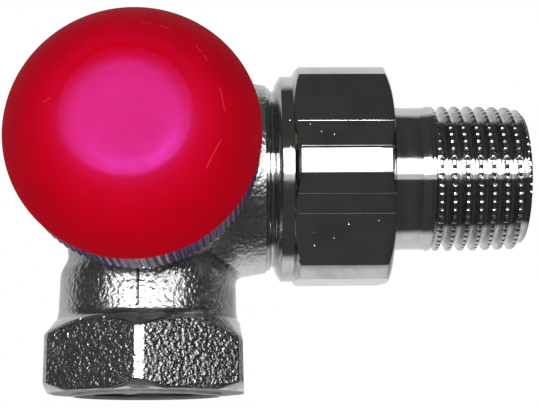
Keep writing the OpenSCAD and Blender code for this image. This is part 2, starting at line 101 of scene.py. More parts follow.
def place(points: Array, axis: Axis) -> Array:
    """Carries points from a shape's own frame, with its axis on +Z, to the valve's frame.

    Args:
        points: Points whose last axis holds x, y and z.
        axis: The valve's axis that takes the place of +Z.

    Returns:
        The same points in the valve's frame.
    """
    x, y, z = points[..., 0], points[..., 1], points[..., 2]
    if axis is Axis.OUTLET:
        return np.stack([z, y, AXIS_H - x], -1)
    if axis is Axis.HEAD:
        return np.stack([x, -z, AXIS_H + y], -1)
    return points


def grid_faces(rows: int, cols: int, close_rows: bool) -> Array:
    """Quads of a grid that closes on itself along its columns.

    Args:
        rows: Number of rings.
        cols: Number of points in a ring.
        close_rows: Whether the last ring joins the first.

    Returns:
        One row of four vertex numbers for each face.
    """
    here = np.arange(rows * cols).reshape(rows, cols)
    after = np.roll(here, -1, 0)
    quads = np.stack([here, np.roll(here, -1, 1), np.roll(after, -1, 1), after], -1)
    return (quads if close_rows else quads[:-1]).reshape(-1, 4)


def make_mesh(name: str, rings: Array, close_rows: bool = True, sharp: float = 32.0) -> Object:
    """Makes an object from rings of points, merging the points that fall together.

    Args:
        name: The new object's name.
        rings: Array of rings by points by x, y and z, in millimetres.
        close_rows: Whether the last ring joins the first; if not, both ends close in a pole.
        sharp: Angle in degrees past which an edge is drawn sharp.

    Returns:
        The new object, linked to the scene, with its faces pointing outwards.
    """
    faces = grid_faces(*rings.shape[:2], close_rows)
    mesh = bpy.data.meshes.new(name)
    mesh.vertices.add(rings.size // 3)
    mesh.vertices.foreach_set("co", (rings * MM).ravel())
    mesh.loops.add(faces.size)
    mesh.loops.foreach_set("vertex_index", faces.ravel().astype(np.int32))
    mesh.polygons.add(len(faces))
    mesh.polygons.foreach_set("loop_start", np.arange(0, faces.size, 4, dtype=np.int32))
    mesh.update(calc_edges=True)
    obj = bpy.data.objects.new(name, mesh)
    bpy.context.scene.collection.objects.link(obj)
    clean(obj)
    finish_shading(obj, sharp)
    return obj


def clean(obj: Object, distance: float = 2e-6) -> None:
    """Merges points that fall together, drops what collapsed and turns the faces outwards."""
    work = bmesh.new()
    work.from_mesh(obj.data)
    bmesh.ops.remove_doubles(work, verts=work.verts, dist=distance)
    bmesh.ops.dissolve_degenerate(work, dist=distance / 4, edges=work.edges)
    bmesh.ops.recalc_face_normals(work, faces=work.faces)
    work.to_mesh(obj.data)
    work.free()


def finish_shading(obj: Object, sharp: float) -> None:
    """Shades an object smooth, with edges past an angle in degrees left sharp."""
    mesh = obj.data
    mesh.polygons.foreach_set("use_smooth", np.ones(len(mesh.polygons), bool))
    mesh.set_sharp_from_angle(angle=math.radians(sharp))
    mesh.update()


def turns(count: int) -> Array:
    """Angles of a ring of evenly spaced points, in radians."""
    return np.arange(count) * TAU / count


def ring_points(angles: Array, *blocks: Sequence) -> Array:
    """Points at a radius and a place along Z: x = r cos a, y = r sin a, z = place.

    Args:
        angles: One angle for each column.
        blocks: Runs of rings, one after the other. A tuple holds radius and place by row
            and column. Anything else holds a pair of radius and place for each row, each
            of them one number or a number for each angle.

    Returns:
        Array of rows by columns by x, y and z.
    """

    def grids(block: Sequence) -> list[Array]:
        """Radius and place of a run of rings, by row and column."""
        if isinstance(block, tuple):
            return [part + 0 * angles for part in block]
        return [np.array([pair[k] + 0 * angles for pair in block]) for k in (0, 1)]

    radius, along = (np.concatenate(parts) for parts in zip(*map(grids, blocks)))
    return np.stack([radius * np.cos(angles), radius * np.sin(angles), along], -1)


def lathe(
    name: str, axis: Axis, angles: Array, *blocks: Sequence, closed: bool = True, sharp: float = 32.0
) -> Object:
    """Turns runs of rings about an axis into a new object.

    Args:
        name: The new object's name.
        axis: The axis that it is turned about.
        angles: One angle for each column.
        blocks: Runs of rings, as in ring_points.
        closed: Whether the section closes on itself, as a ring's does.
        sharp: Angle in degrees past which an edge is drawn sharp.

    Returns:
        The new object.
    """
    return make_mesh(name, place(ring_points(angles, *blocks), axis), closed, sharp)


def soften(profile: Sequence[Point], cut: float) -> Array:
    """Breaks every corner of an open profile with a small round of three points.

    Each corner p between its neighbours a and b gives the points of the curve
    (1-t)^2 a' + 2t(1-t) p + t^2 b' at t = 0, 1/2 and 1, where a' and b' lie on the
    two sides, a cut away from the corner and never past a side's middle.

    Args:
        profile: Corners as radius and place along the axis; the two ends stay as they are.
        cut: Distance from a corner to where its round starts.

    Returns:
        Array of points, radius and place.
    """
    corners = np.asarray(profile, float)

    def step(towards: Array) -> Array:
        """Places a cut away from each corner, on the way to another one."""
        side = towards - corners
        length = np.linalg.norm(side, axis=1, keepdims=True) + 1e-9
        return corners + side * np.minimum(cut / length, 0.45)

    start, end = step(np.roll(corners, 1, 0)), step(np.roll(corners, -1, 0))
    rounds = np.stack([start, 0.25 * start + 0.5 * corners + 0.25 * end, end], 1)
    return np.concatenate([corners[:1], rounds[1:-1].reshape(-1, 2), corners[-1:]])


def smooth_min(a: Array, b: Array, blend: float) -> Array:
    """The smaller of two distances, rounded where they differ by less than a blend.

    With h = max(blend - |a - b|, 0) / blend, the result is min(a, b) - h^2 blend / 4.
    """
    h = np.maximum(blend - np.abs(a - b), 0) / blend
    return np.minimum(a, b) - h * h * blend / 4


def ramp(x: Array, start: float, end: float) -> Array:
    """Smooth step from 0 at start to 1 at end: t^2 (3 - 2t)."""
    t = np.clip((x - start) / (end - start), 0, 1)
    return t * t * (3 - 2 * t)


def thread_wave(along: Array, angles: Array, crest: float = 0.22, rounding: float = 0.35) -> Array:
    """Depth below the crest of a right-hand pipe thread with rounded crests and roots.

    The phase is place / pitch minus angle / one turn; the flank rises and falls in a
    straight line with the phase, and a smooth step rounds its crest and its root.

    Args:
        along: Place along the axis, by row and column.
        angles: Angle by column.
        crest: Share of the pitch that the flat crest takes.
        rounding: Share of the depth that follows the smooth step.

    Returns:
        Depth as a share of the thread's full depth, from 0 to 1.
    """
    away = np.abs(np.mod(along / PIPE_PITCH - angles / TAU, 1.0) - 0.5) * 2
    flank = np.clip((away - crest) / (1 - 1.6 * crest), 0, 1)
    return ramp(away, crest * 0.6, 1 - crest * 0.35) * rounding + flank * (1 - rounding)


def cut_with(obj: Object, cutters: Iterable[Object], sharp: float) -> None:
    """Takes closed solids out of a closed solid, then shades it again.

    Args:
        obj: The solid that stays.
        cutters: The solids taken out, which are removed from the scene.
        sharp: Angle in degrees past which an edge is drawn sharp.
    """
    for cutter in cutters:
        tool = obj.modifiers.new("cut", "BOOLEAN")
        tool.operation, tool.solver, tool.object = "DIFFERENCE", "EXACT", cutter
        shaped = bpy.data.meshes.new_from_object(obj.evaluated_get(bpy.context.evaluated_depsgraph_get()))
        obj.modifiers.clear()
        old, obj.data = obj.data, shaped
        bpy.data.meshes.remove(old)
        bpy.data.objects.remove(cutter)
    finish_shading(obj, sharp)


# Materials


class Nodes:
    """A small hand for building a node tree."""

    def __init__(self, tree: Tree) -> None:
        """Keeps the tree that nodes are added to."""
        self.tree = tree

    def fill(self, node: Node, inputs: dict) -> Node:
        """Gives a node's inputs, by name or number, their values or links them to sockets."""
        for key, value in inputs.items():
            if isinstance(value, Socket):
                self.tree.links.new(value, node.inputs[key])
            else:
                node.inputs[key].default_value = value
        return node

    def add(self, kind: str, inputs: dict | None = None, **settings) -> Node:
        """Adds a node of a kind, sets its properties and fills its inputs."""
        node = self.tree.nodes.new(kind)
        for key, value in settings.items():
            setattr(node, key, value)
        return self.fill(node, inputs or {})

    def math(self, operation: str, a: Value, b: Value = 0.0, c: Value = 0.0) -> Socket:
        """Adds a Math node and returns its result."""
        return self.add("ShaderNodeMath", {0: a, 1: b, 2: c}, operation=operation).outputs[0]

    def product(self, first: Value, *others: Value) -> Socket:
        """Multiplies all values and returns the result."""
        for other in others:
            first = self.math("MULTIPLY", first, other)
        return first

    def vector(self, operation: str, inputs: dict, result: int = 0) -> Socket:
        """Adds a Vector Math node and returns one of its results: 0 a vector, 1 a number."""
        return self.add("ShaderNodeVectorMath", inputs, operation=operation).outputs[result]

    def part(self, value: Socket, axis: Axis) -> Socket:
        """One coordinate of a vector."""
        return self.add("ShaderNodeSeparateXYZ", {0: value}).outputs[axis.value]

    def mix(self, factor: Value, a: Colour | Socket, b: Colour) -> Socket:
        """Mixes two colours and returns the result."""
        a = a if isinstance(a, Socket) else (*a, 1)
        return self.add("ShaderNodeMix", {0: factor, 6: a, 7: (*b, 1)}, data_type="RGBA").outputs[2]

    def between(self, factor: Value, a: Value, b: Value) -> Socket:
        """Mixes two numbers and returns the result."""
        return self.add("ShaderNodeMix", {0: factor, 2: a, 3: b}, data_type="FLOAT").outputs[0]

    def spread(self, value: Value, *ranges: float) -> Socket:
        """Maps a value smoothly from the range of the first two numbers to that of the last two."""
        inputs = dict(enumerate((value, *ranges)))
        return self.add("ShaderNodeMapRange", inputs, interpolation_type="SMOOTHSTEP").outputs[0]


class Group(Nodes):
    """A shader node group in the making, with one output."""

    def __init__(self, name: str, output: str, **inputs: float | None) -> None:
        """Starts the group.

        Args:
            name: The group's name.
            output: The name of its output, a number.
            inputs: Default by input name; an input without one is a vector.
        """
        super().__init__(bpy.data.node_groups.new(name, "ShaderNodeTree"))
        new_socket = self.tree.interface.new_socket
        for label, default in inputs.items():
            if default is None:
                new_socket(label, in_out="INPUT", socket_type="NodeSocketVector")
            else:
                new_socket(label, in_out="INPUT", socket_type="NodeSocketFloat").default_value = default
        new_socket(output, in_out="OUTPUT", socket_type="NodeSocketFloat")
        self.given = self.tree.nodes.new("NodeGroupInput").outputs

    def give(self, value: Socket) -> Tree:
        """Links the output and returns the finished group."""
        self.add("NodeGroupOutput", {0: value})
        return self.tree


class Effects:
    """The shared effects, each built once as a node group."""

    def __init__(self) -> None:
        """Builds the groups."""
        self.blasted, self.handled, self.lathed = self._blasted(), self._handled(), self._lathed()
        self.pits, self.dash = self._pits(), self._dash()

    @staticmethod
    def _blasted() -> Tree:
        """Skin of a blasted casting: rounded facets with finer grain on them."""
        group = Group("blasted_skin", "Height", Vector=None, Size=0.5, Grain=0.3)
        per_mm = group.math("DIVIDE", 1000.0, group.given["Size"])
        spot = group.vector("SCALE", {0: group.given["Vector"], 3: per_mm})
        waves = {"Vector": spot, "Scale": 0.5, "Detail": 1.0, "Roughness": 0.4}
        coarse = group.add("ShaderNodeTexNoise", waves).outputs[0]
        cells = group.add("ShaderNodeTexVoronoi", {"Vector": spot, "Scale": 0.75}, feature="SMOOTH_F1")
        fine = group.add("ShaderNodeTexNoise", {"Vector": spot, "Scale": 1.6, "Detail": 2.0}).outputs[0]
        height = group.math("MULTIPLY_ADD", cells.outputs[0], 0.45, coarse)
        return group.give(group.math("MULTIPLY_ADD", fine, group.given["Grain"], height))

    @staticmethod
    def _handled() -> Tree:
        """Faint smears of handling: a mask that is 0 on clean metal and 1 in a smear."""
        group = Group("handled", "Mask", Vector=None, Size=6.0)
        scale = group.math("DIVIDE", 1000.0, group.given["Size"])
        cloud = {"Vector": group.given["Vector"], "Scale": scale, "Detail": 5.0, "Roughness": 0.62}
        noise = group.add("ShaderNodeTexNoise", cloud).outputs[0]
        return group.give(group.spread(noise, 0.42, 0.72, 0.0, 1.0))

    @staticmethod
    def _lathed() -> Tree:
        """Fine turning marks: uneven steps that depend on the place along one axis alone."""
        group = Group("turning_marks", "Height", Along=0.0, Pitch=0.12)
        step = group.math("DIVIDE", group.given["Along"], group.given["Pitch"])
        marks = {"W": step, "Scale": 1.0, "Detail": 3.0}
        return group.give(group.add("ShaderNodeTexNoise", marks, noise_dimensions="1D").outputs[0])

    @staticmethod
    def _pits() -> Tree:
        """Scattered small dents: a mask with a soft dot in a few cells of a Voronoi pattern."""
        group = Group("pits", "Mask", Vector=None, Spacing=1.5, Share=0.2, Radius=0.12)
        scale = group.math("DIVIDE", 1000.0, group.given["Spacing"])
        cell = group.add("ShaderNodeTexVoronoi", {"Vector": group.given["Vector"], "Scale": scale}).outputs
        reach = group.math("DIVIDE", group.given["Radius"], group.given["Spacing"])
        dot = group.spread(group.math("DIVIDE", cell["Distance"], reach), 0.3, 1.0, 1.0, 0.0)
        pick = group.add("ShaderNodeSeparateColor", {0: cell["Color"]}).outputs[0]
        return group.give(group.product(dot, group.math("LESS_THAN", pick, group.given["Share"])))

    @staticmethod
    def _dash() -> Tree:
        """A short straight dash, the mask of a painted highlight: 1 near the line from start to end, 0 a
        width away from it.

        With a the offset from the start and b the whole line, the nearest place on the
        line lies at a.b / b.b of its length, held between 0 and 1.
        """
        group = Group("dash", "Mask", Vector=None, Start=None, End=None, Width=0.1)
        given = group.given
        offset = group.vector("SUBTRACT", {0: given["Vector"], 1: given["Start"]})
        line = group.vector("SUBTRACT", {0: given["End"], 1: given["Start"]})
        reach = group.vector("DOT_PRODUCT", {0: offset, 1: line}, 1)
        share = group.math("DIVIDE", reach, group.vector("DOT_PRODUCT", {0: line, 1: line}, 1))
        held = group.add("ShaderNodeClamp", {"Value": share}).outputs[0]
        nearest = group.vector("SCALE", {0: line, 3: held})
        away = group.vector("DISTANCE", {0: offset, 1: nearest}, 1)
        return group.give(group.spread(group.math("DIVIDE", away, given["Width"]), 0.2, 1.0, 1.0, 0.0))


class Finish(Nodes):
    """A finish in the making: a material with one shader and the object's own coordinates."""

    def __init__(self, name: str, effects: Effects) -> None:
        """Starts the material."""
        self.effects = effects
        self.material = bpy.data.materials.new(name)
        self.material.use_nodes = True
        super().__init__(self.material.node_tree)
        self.tree.nodes.clear()
        self.where = self.add("ShaderNodeTexCoord").outputs["Object"]
        self.shader = self.add("ShaderNodeBsdfPrincipled")
        self.add("ShaderNodeOutputMaterial", {"Surface": self.shader.outputs[0]})

    def effect(self, tree: Tree, **inputs) -> Socket:
        """Places a shared effect with its own values and returns its output."""
        return self.add("ShaderNodeGroup", inputs, node_tree=tree).outputs[0]

    def smear(self, size: float) -> Socket:
        """A mask of smears of a size in millimetres."""
        return self.effect(self.effects.handled, Vector=self.where, Size=size)

    def set(self, **values) -> Material:
        """Sets or links the shader's inputs, with underscores for spaces; returns the material."""
        self.fill(self.shader, {key.replace("_", " "): value for key, value in values.items()})
        return self.material

    def bump(self, height: Socket, depth: float, below: Socket | None = None) -> Socket:
        """Adds a bump of a depth in millimetres, over another normal if given."""
        inputs = {"Height": height, "Strength": 1.0, "Distance": depth * MM}
        if below is not None:
            inputs["Normal"] = below
        return self.add("ShaderNodeBump", inputs).outputs[0]

    def along(self, axis: Axis) -> Socket:
        """The place along one of the valve's axes, in millimetres."""
        return self.math("DIVIDE", self.part(self.where, axis), MM)

    def darker(self, mask: Socket, colour: Colour, share: float) -> Socket:
        """A colour that falls to a share of itself where the mask is 1."""
        return self.mix(mask, colour, tuple(c * share for c in colour))


@dataclass(frozen=True)
class Nickel:
    """Nickel plating over brass, turned bright or blasted before plating."""

    colour: Colour = (0.66, 0.66, 0.655)
    cast_colour: Colour = (0.84, 0.84, 0.83)
    seam_colour: Colour = (0.12, 0.12, 0.12)
    bright_roughness: float = 0.07
    smear_roughness: float = 0.07
    marks_depth: float = 0.0012
    pit_spacing: float = 1.5
    pit_radius: float = 0.17
    pit_depth: float = 0.06
    cast_roughness: float = 0.19
    facet_size: float = 0.34
    facet_depth: float = 0.165
    neck_facet_share: float = 0.74
    neck_roughness: float = 0.04
    chest_z: Point = (16.0, 19.0)
    chest_facet_share: float = 0.8
    chest_roughness: float = 0.03
    # Share of its colour that the chest keeps under its painted shade.
    chest_painted_shade: float = 0.75
    foot_stretch: float = 1.25
    seam_x: float = -0.45
    machined_z: float = 12.3
    satin_z: float = 0.5
    satin_roughness: float = 0.85
    lines: tuple[Point, ...] = ((23.45, 0.75), (25.86, 0.7), (31.93, 0.8), (35.9, 1.0))
    line_from_x: float = 21.0
    line_to_y: float = -10.0
    line_depth: float = 0.02

    def turned(self, effects: Effects, name: str, axis: Axis, pits: float = 0.0) -> Material:
        """Bright turned nickel.

        Args:
            effects: The shared effects.
            name: The material's name.
            axis: The axis that its turning marks run round.
            pits: Share of cells with a small dent; with any, the milled lines show too.

        Returns:
            The material, with faint turning marks and smears.
        """
        finish = Finish(name, effects)
        smear = finish.smear(5.0)
        dull = self.bright_roughness + self.smear_roughness
        rough = finish.spread(smear, 0.0, 1.0, self.bright_roughness, dull)
        marks = finish.effect(effects.lathed, Along=finish.along(axis), Pitch=0.10)
        normal = finish.bump(marks, self.marks_depth)
        if pits:
            sizes = {"Spacing": self.pit_spacing, "Share": pits, "Radius": self.pit_radius}
            dents = finish.effect(effects.pits, Vector=finish.where, **sizes)
            normal = finish.bump(dents, -self.pit_depth, normal)
            normal = finish.bump(self.tool_lines(finish), -self.line_depth, normal)
        shade = finish.darker(smear, self.colour, 0.80)
        return finish.set(Base_Color=shade, Metallic=1.0, Roughness=rough, Normal=normal)

    def tool_lines(self, finish: Finish) -> Socket:
        """Faint milled lines along the nut's flats that face the head, by height and strength."""
        height, total = finish.along(Axis.INLET), None
        for level, strength in self.lines:
            away = finish.math("ABSOLUTE", finish.math("SUBTRACT", height, level))
            line = finish.spread(away, 0.02, 0.06, strength, 0.0)
            total = line if total is None else finish.math("MAXIMUM", total, line)
        front = finish.math("LESS_THAN", finish.along(Axis.HEAD), self.line_to_y)
        flats = finish.math("GREATER_THAN", finish.along(Axis.OUTLET), self.line_from_x)
        return finish.product(total, front, flats)

    def pressed(self, finish: Finish) -> Socket:
        """The object's coordinates with Z drawn out below the neck, which makes facets shorter there."""
        parts = finish.add("ShaderNodeSeparateXYZ", {0: finish.where}).outputs
        below = finish.math("MINIMUM", finish.math("SUBTRACT", parts[2], self.machined_z * MM), 0.0)
        tall = finish.math("MULTIPLY_ADD", below, self.foot_stretch - 1, parts[2])
        return finish.add("ShaderNodeCombineXYZ", {0: parts[0], 1: parts[1], 2: tall}).outputs[0]

    def left_rough(self, finish: Finish, height: Socket) -> Socket:
        """How rough the skin is left: 1, but little on the turned cones of the hexagon."""
        facing = finish.add("ShaderNodeTexCoord").outputs["Normal"]
        steep = finish.math("ABSOLUTE", finish.part(facing, Axis.INLET))
        cone = finish.spread(steep, 0.08, 0.30, 0.0, 1.0)
        foot = finish.spread(height, self.machined_z - 0.8, self.machined_z, 1.0, 0.0)
        smooth = finish.spread(height, 2.0, 4.0, 0.95, 0.75)
        return finish.math("SUBTRACT", 1.0, finish.product(cone, foot, smooth))

    def cast(self, effects: Effects, name: str) -> Material:
        """Plated blasted casting: bright facets that sparkle, with a faint seam of the mould.

        Neck and chest are a little duller and smoother than the hexagon, the chest is
        darker with painted shade under the head, and the mouth's ring is satin.
        """
        finish = Finish(name, effects)
        height, machined = finish.along(Axis.INLET), self.machined_z
        skin = finish.effect(effects.blasted, Vector=self.pressed(finish), Size=self.facet_size, Grain=0.3)
        neck = finish.spread(height, machined - 3, machined, 1.0, self.neck_facet_share)
        chest = finish.spread(height, *self.chest_z, 1.0, self.chest_facet_share)
        skin = finish.product(skin, self.left_rough(finish, height), neck, chest)
        across = finish.math("ABSOLUTE", finish.math("SUBTRACT", finish.along(Axis.OUTLET), self.seam_x))
        above = finish.spread(height, machined - 1.1, machined - 0.3, 0.0, 1.0)
        seam = finish.product(finish.spread(across, 0.05, 0.22, 1.0, 0.0), above)
        smear = finish.smear(4.0)
        rough = finish.spread(smear, 0.0, 1.0, self.cast_roughness, self.cast_roughness + 0.10)
        duller = finish.spread(height, machined - 2, machined, 0.0, self.neck_roughness)
        rough = finish.math("ADD", rough, duller)
        rough = finish.math("ADD", rough, finish.spread(height, *self.chest_z, 0.0, self.chest_roughness))
        satin = finish.spread(height, self.satin_z * 0.8, self.satin_z, self.satin_roughness, 0.0)
        shade = finish.mix(seam, finish.darker(smear, self.cast_colour, 0.86), self.seam_colour)
        # Painted shade: the chest's colour falls towards black, standing in for shade under the head and
        # cap.
        painted_chest_shade = finish.spread(height, *self.chest_z, 0.0, 1.0 - self.chest_painted_shade)
        return finish.set(
            Base_Color=finish.mix(painted_chest_shade, shade, (0.0, 0.0, 0.0)),
            Metallic=1.0,
            Roughness=finish.math("MAXIMUM", rough, satin),
            Normal=finish.bump(seam, -0.10, finish.bump(skin, self.facet_depth)),
        )


@dataclass(frozen=True)
class Plastic:
    """Moulded plastic with a satin skin; its reflection may have a colour of its own."""

    colour: Colour
    deeper: Colour
    roughness: float
    gloss_colour: Colour = (1.0, 1.0, 1.0)
    gloss: float = 0.5

    def moulded(self, effects: Effects, name: str) -> Material:
        """Plastic whose colour and gloss vary a little, with a fine moulded grain."""
        finish = Finish(name, effects)
        cloud = finish.smear(7.0)
        rough = finish.spread(cloud, 0.0, 1.0, self.roughness, self.roughness + 0.05)
        return finish.set(
            Base_Color=self.with_painted_highlights(finish, finish.mix(cloud, self.colour, self.deeper)),
            Roughness=self.dulled(finish, rough),
            Normal=self.skin(finish),
            Specular_IOR_Level=self.gloss,
            Specular_Tint=(*self.gloss_colour, 1),
        )

    def skin(self, finish: Finish) -> Socket:
        """The normal of the moulded skin: a fine grain."""
        grain = finish.effect(finish.effects.blasted, Vector=finish.where, Size=0.3, Grain=0.6)
        return finish.bump(grain, 0.0022)

    def with_painted_highlights(self, finish: Finish, shade: Socket) -> Socket:
        """The colour with the painted highlights that this plastic has: none."""
        return shade

    def dulled(self, finish: Finish, rough: Socket) -> Socket:
        """The roughness where the plastic is duller than elsewhere: nowhere."""
        return rough


@dataclass(frozen=True)
class CapPlastic(Plastic):
    """The cap's red plastic: polished on top, satin towards its side, with a few painted highlights as
    thin light dashes.
    """

    polished_r: float = 6.8
    satin_r: float = 9.5
    satin_roughness: float = 0.65
    mottle_depth: float = 0.010
    # Painted highlights: thin light dashes on the cap's side, in the colour below.
    painted_highlight_colour: Colour = (1.0, 0.10, 0.10)
    painted_highlight_share: float = 0.55
    painted_highlight_width: float = 0.09
    painted_highlights: tuple[tuple[float, ...], ...] = (
        (10.88, 3.17, 11.46, 0.40),
        (10.99, -3.11, 9.25, -6.48),
        (8.99, 7.30, 9.34, 6.65),
        (-9.61, 1.19, -8.76, 1.57),
        (1.39, 11.38, 2.57, 11.29),
        (3.75, 11.08, 4.95, 10.39),
        (8.03, 8.60, 8.63, 7.66),
    )

    @staticmethod
    def seen_from_top(finish: Finish) -> Socket:
        """The place across the head's axis, without the place along it."""
        return finish.vector("MULTIPLY", {0: finish.where, 1: (1.0, 0.0, 1.0)})

    def with_painted_highlights(self, finish: Finish, shade: Socket) -> Socket:
        """The colour with its painted highlights, short light streaks, each a straight dash from x, z to
        x, z.
        """
        flat, width, total = self.seen_from_top(finish), self.painted_highlight_width * MM, None
        for line in self.painted_highlights:
            start, end = ((x * MM, 0.0, (AXIS_H + z) * MM) for x, z in (line[:2], line[2:]))
            dash = finish.effect(finish.effects.dash, Vector=flat, Start=start, End=end, Width=width)
            total = dash if total is None else finish.math("MAXIMUM", total, dash)
        return finish.mix(finish.product(total, self.painted_highlight_share), shade, self.painted_highlight_colour)

    def dulled(self, finish: Finish, rough: Socket) -> Socket:
        """The roughness, rising with the distance from the head's axis."""
        ends = {0: self.seen_from_top(finish), 1: (0.0, 0.0, AXIS_H * MM)}
        away = finish.math("DIVIDE", finish.vector("DISTANCE", ends, 1), MM)
        satin = finish.spread(away, self.polished_r, self.satin_r, 0.0, self.satin_roughness)
        return finish.math("MAXIMUM", rough, satin)

    def skin(self, finish: Finish) -> Socket:
        """The normal of the moulded skin, with a coarser mottle under the grain."""
        mottle = finish.effect(finish.effects.blasted, Vector=finish.where, Size=0.55, Grain=0.5)
        return finish.bump(mottle, self.mottle_depth, super().skin(finish))


@dataclass(frozen=True)
class PlainMetal:
    """Turned or drawn metal without plating."""

    colour: Colour
    roughness: float = 0.22

    def turned(self, effects: Effects, name: str) -> Material:
        """Bare metal with turning marks round the head's axis and a slight tarnish."""
        finish = Finish(name, effects)
        smear = finish.smear(3.0)
        marks = finish.effect(effects.lathed, Along=finish.along(Axis.HEAD), Pitch=0.14)
        return finish.set(
            Base_Color=finish.darker(smear, self.colour, 0.72),
            Metallic=1.0,
            Roughness=finish.spread(smear, 0.0, 1.0, self.roughness, self.roughness + 0.15),
            Normal=finish.bump(marks, 0.004),
        )


@dataclass(frozen=True)
class Rubber:
    """Black sealing rubber."""

    colour: Colour = (0.018, 0.018, 0.019)
    bloom: Colour = (0.045, 0.045, 0.046)

    def moulded(self, effects: Effects, name: str) -> Material:
        """Rubber with a dull bloom in patches."""
        finish = Finish(name, effects)
        cloud = finish.smear(2.0)
        grain = finish.effect(effects.blasted, Vector=finish.where, Size=0.2, Grain=0.5)
        return finish.set(
            Base_Color=finish.mix(cloud, self.colour, self.bloom),
            Roughness=finish.spread(cloud, 0.0, 1.0, 0.45, 0.62),
            Normal=finish.bump(grain, 0.004),
        )


class Palette:
    """All materials of the valve."""

    def __init__(self) -> None:
        """Makes the materials."""
        effects, nickel = Effects(), Nickel()
        self.cast = nickel.cast(effects, "plated_casting_skin")
        self.bore = nickel.turned(effects, "plated_bore", Axis.INLET)
        self.spigot = nickel.turned(effects, "plated_spigot", Axis.OUTLET)
        self.nut = nickel.turned(effects, "plated_nut", Axis.OUTLET, pits=0.45)
        self.tail = nickel.turned(effects, "plated_tail", Axis.OUTLET)
        self.brass = PlainMetal((0.62, 0.52, 0.33)).turned(effects, "turned_brass")
        self.steel = PlainMetal((0.56, 0.56, 0.57), 0.16).turned(effects, "stainless_steel")
        self.rubber = Rubber().moulded(effects, "sealing_rubber")
        ivory = Plastic((0.80, 0.76, 0.64), (0.74, 0.69, 0.56), 0.4)
        red = CapPlastic((0.82, 0.0, 0.002), (0.76, 0.0, 0.001), 0.27, (1.6, 0.38, 3.7), 0.1)
        violet = Plastic((0.112, 0.036, 0.165), (0.09, 0.030, 0.14), 0.42, (1.0, 0.5, 1.0), 0.22)
        self.ivory = ivory.moulded(effects, "bush_plastic")
        self.red = red.moulded(effects, "red_cap_plastic")
        self.violet = violet.moulded(effects, "violet_grip_plastic")


# Pieces


def dress(obj: Object, body: str, slot: Slot, material: Material, *replaces: str) -> None:
    """Gives a new piece its material and its body, and hides the nodes that it stands for.

    Args:
        obj: The new piece.
        body: Body that it moves with.
        slot: The record's slot that its finish comes from; not used.
        material: Its material.
        replaces: Nodes of the part that it is shown instead of.
    """
    obj.data.materials.clear()
    obj.data.materials.append(material)
    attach(obj, body)
    if replaces:
        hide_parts(*replaces)
    LOG.info("%s rides on %s: %d faces", obj.name, body, len(obj.data.polygons))


def hexagon_radius(angles: Array, flats: float, corners: float, turn: float = 0.0) -> Array:
    """Radius of a hexagon with turned corners: the smaller of flats / 2 / cos(a) and corners / 2.

    Args:
        angles: Angles round the axis; a corner lies at a quarter turn plus the given turn.
        flats: Width across flats.
        corners: Diameter over the turned corners.
        turn: Extra turn in radians.

    Returns:
        The radius at each angle.
    """
    sector = np.mod(np.asarray(angles) - turn + TAU / 12, TAU / 6) - TAU / 12
    return np.minimum(flats / 2 / np.cos(sector), corners / 2)


def hexagon_turns(flats: float, corners: float, turn: float = 0.0, between: int = 34) -> Array:
    """Angles for a hexagon's ring, close together where a flat meets a turned corner.

    Args:
        flats: Width across flats.
        corners: Diameter over the turned corners.
        turn: Extra turn in radians.
        between: Number of steps along a flat.

    Returns:
        Rising angles for one turn.
    """
    edge = math.acos(flats / corners)
    near = np.radians([-0.7, -0.25, 0.25, 0.7])
    flat = np.linspace(-edge + near[-1], edge - near[-1], between)[1:-1]
    corner = np.linspace(edge + near[-1], TAU / 6 - edge - near[-1], 5)[1:-1]
    sector = np.concatenate([-edge + near, flat, edge + near, corner])
    return np.sort(np.concatenate([sector + k * TAU / 6 for k in range(6)]) + turn)


def slope(degrees: float) -> float:
    """Rise of a cone for each millimetre outwards."""
    return math.tan(math.radians(degrees))


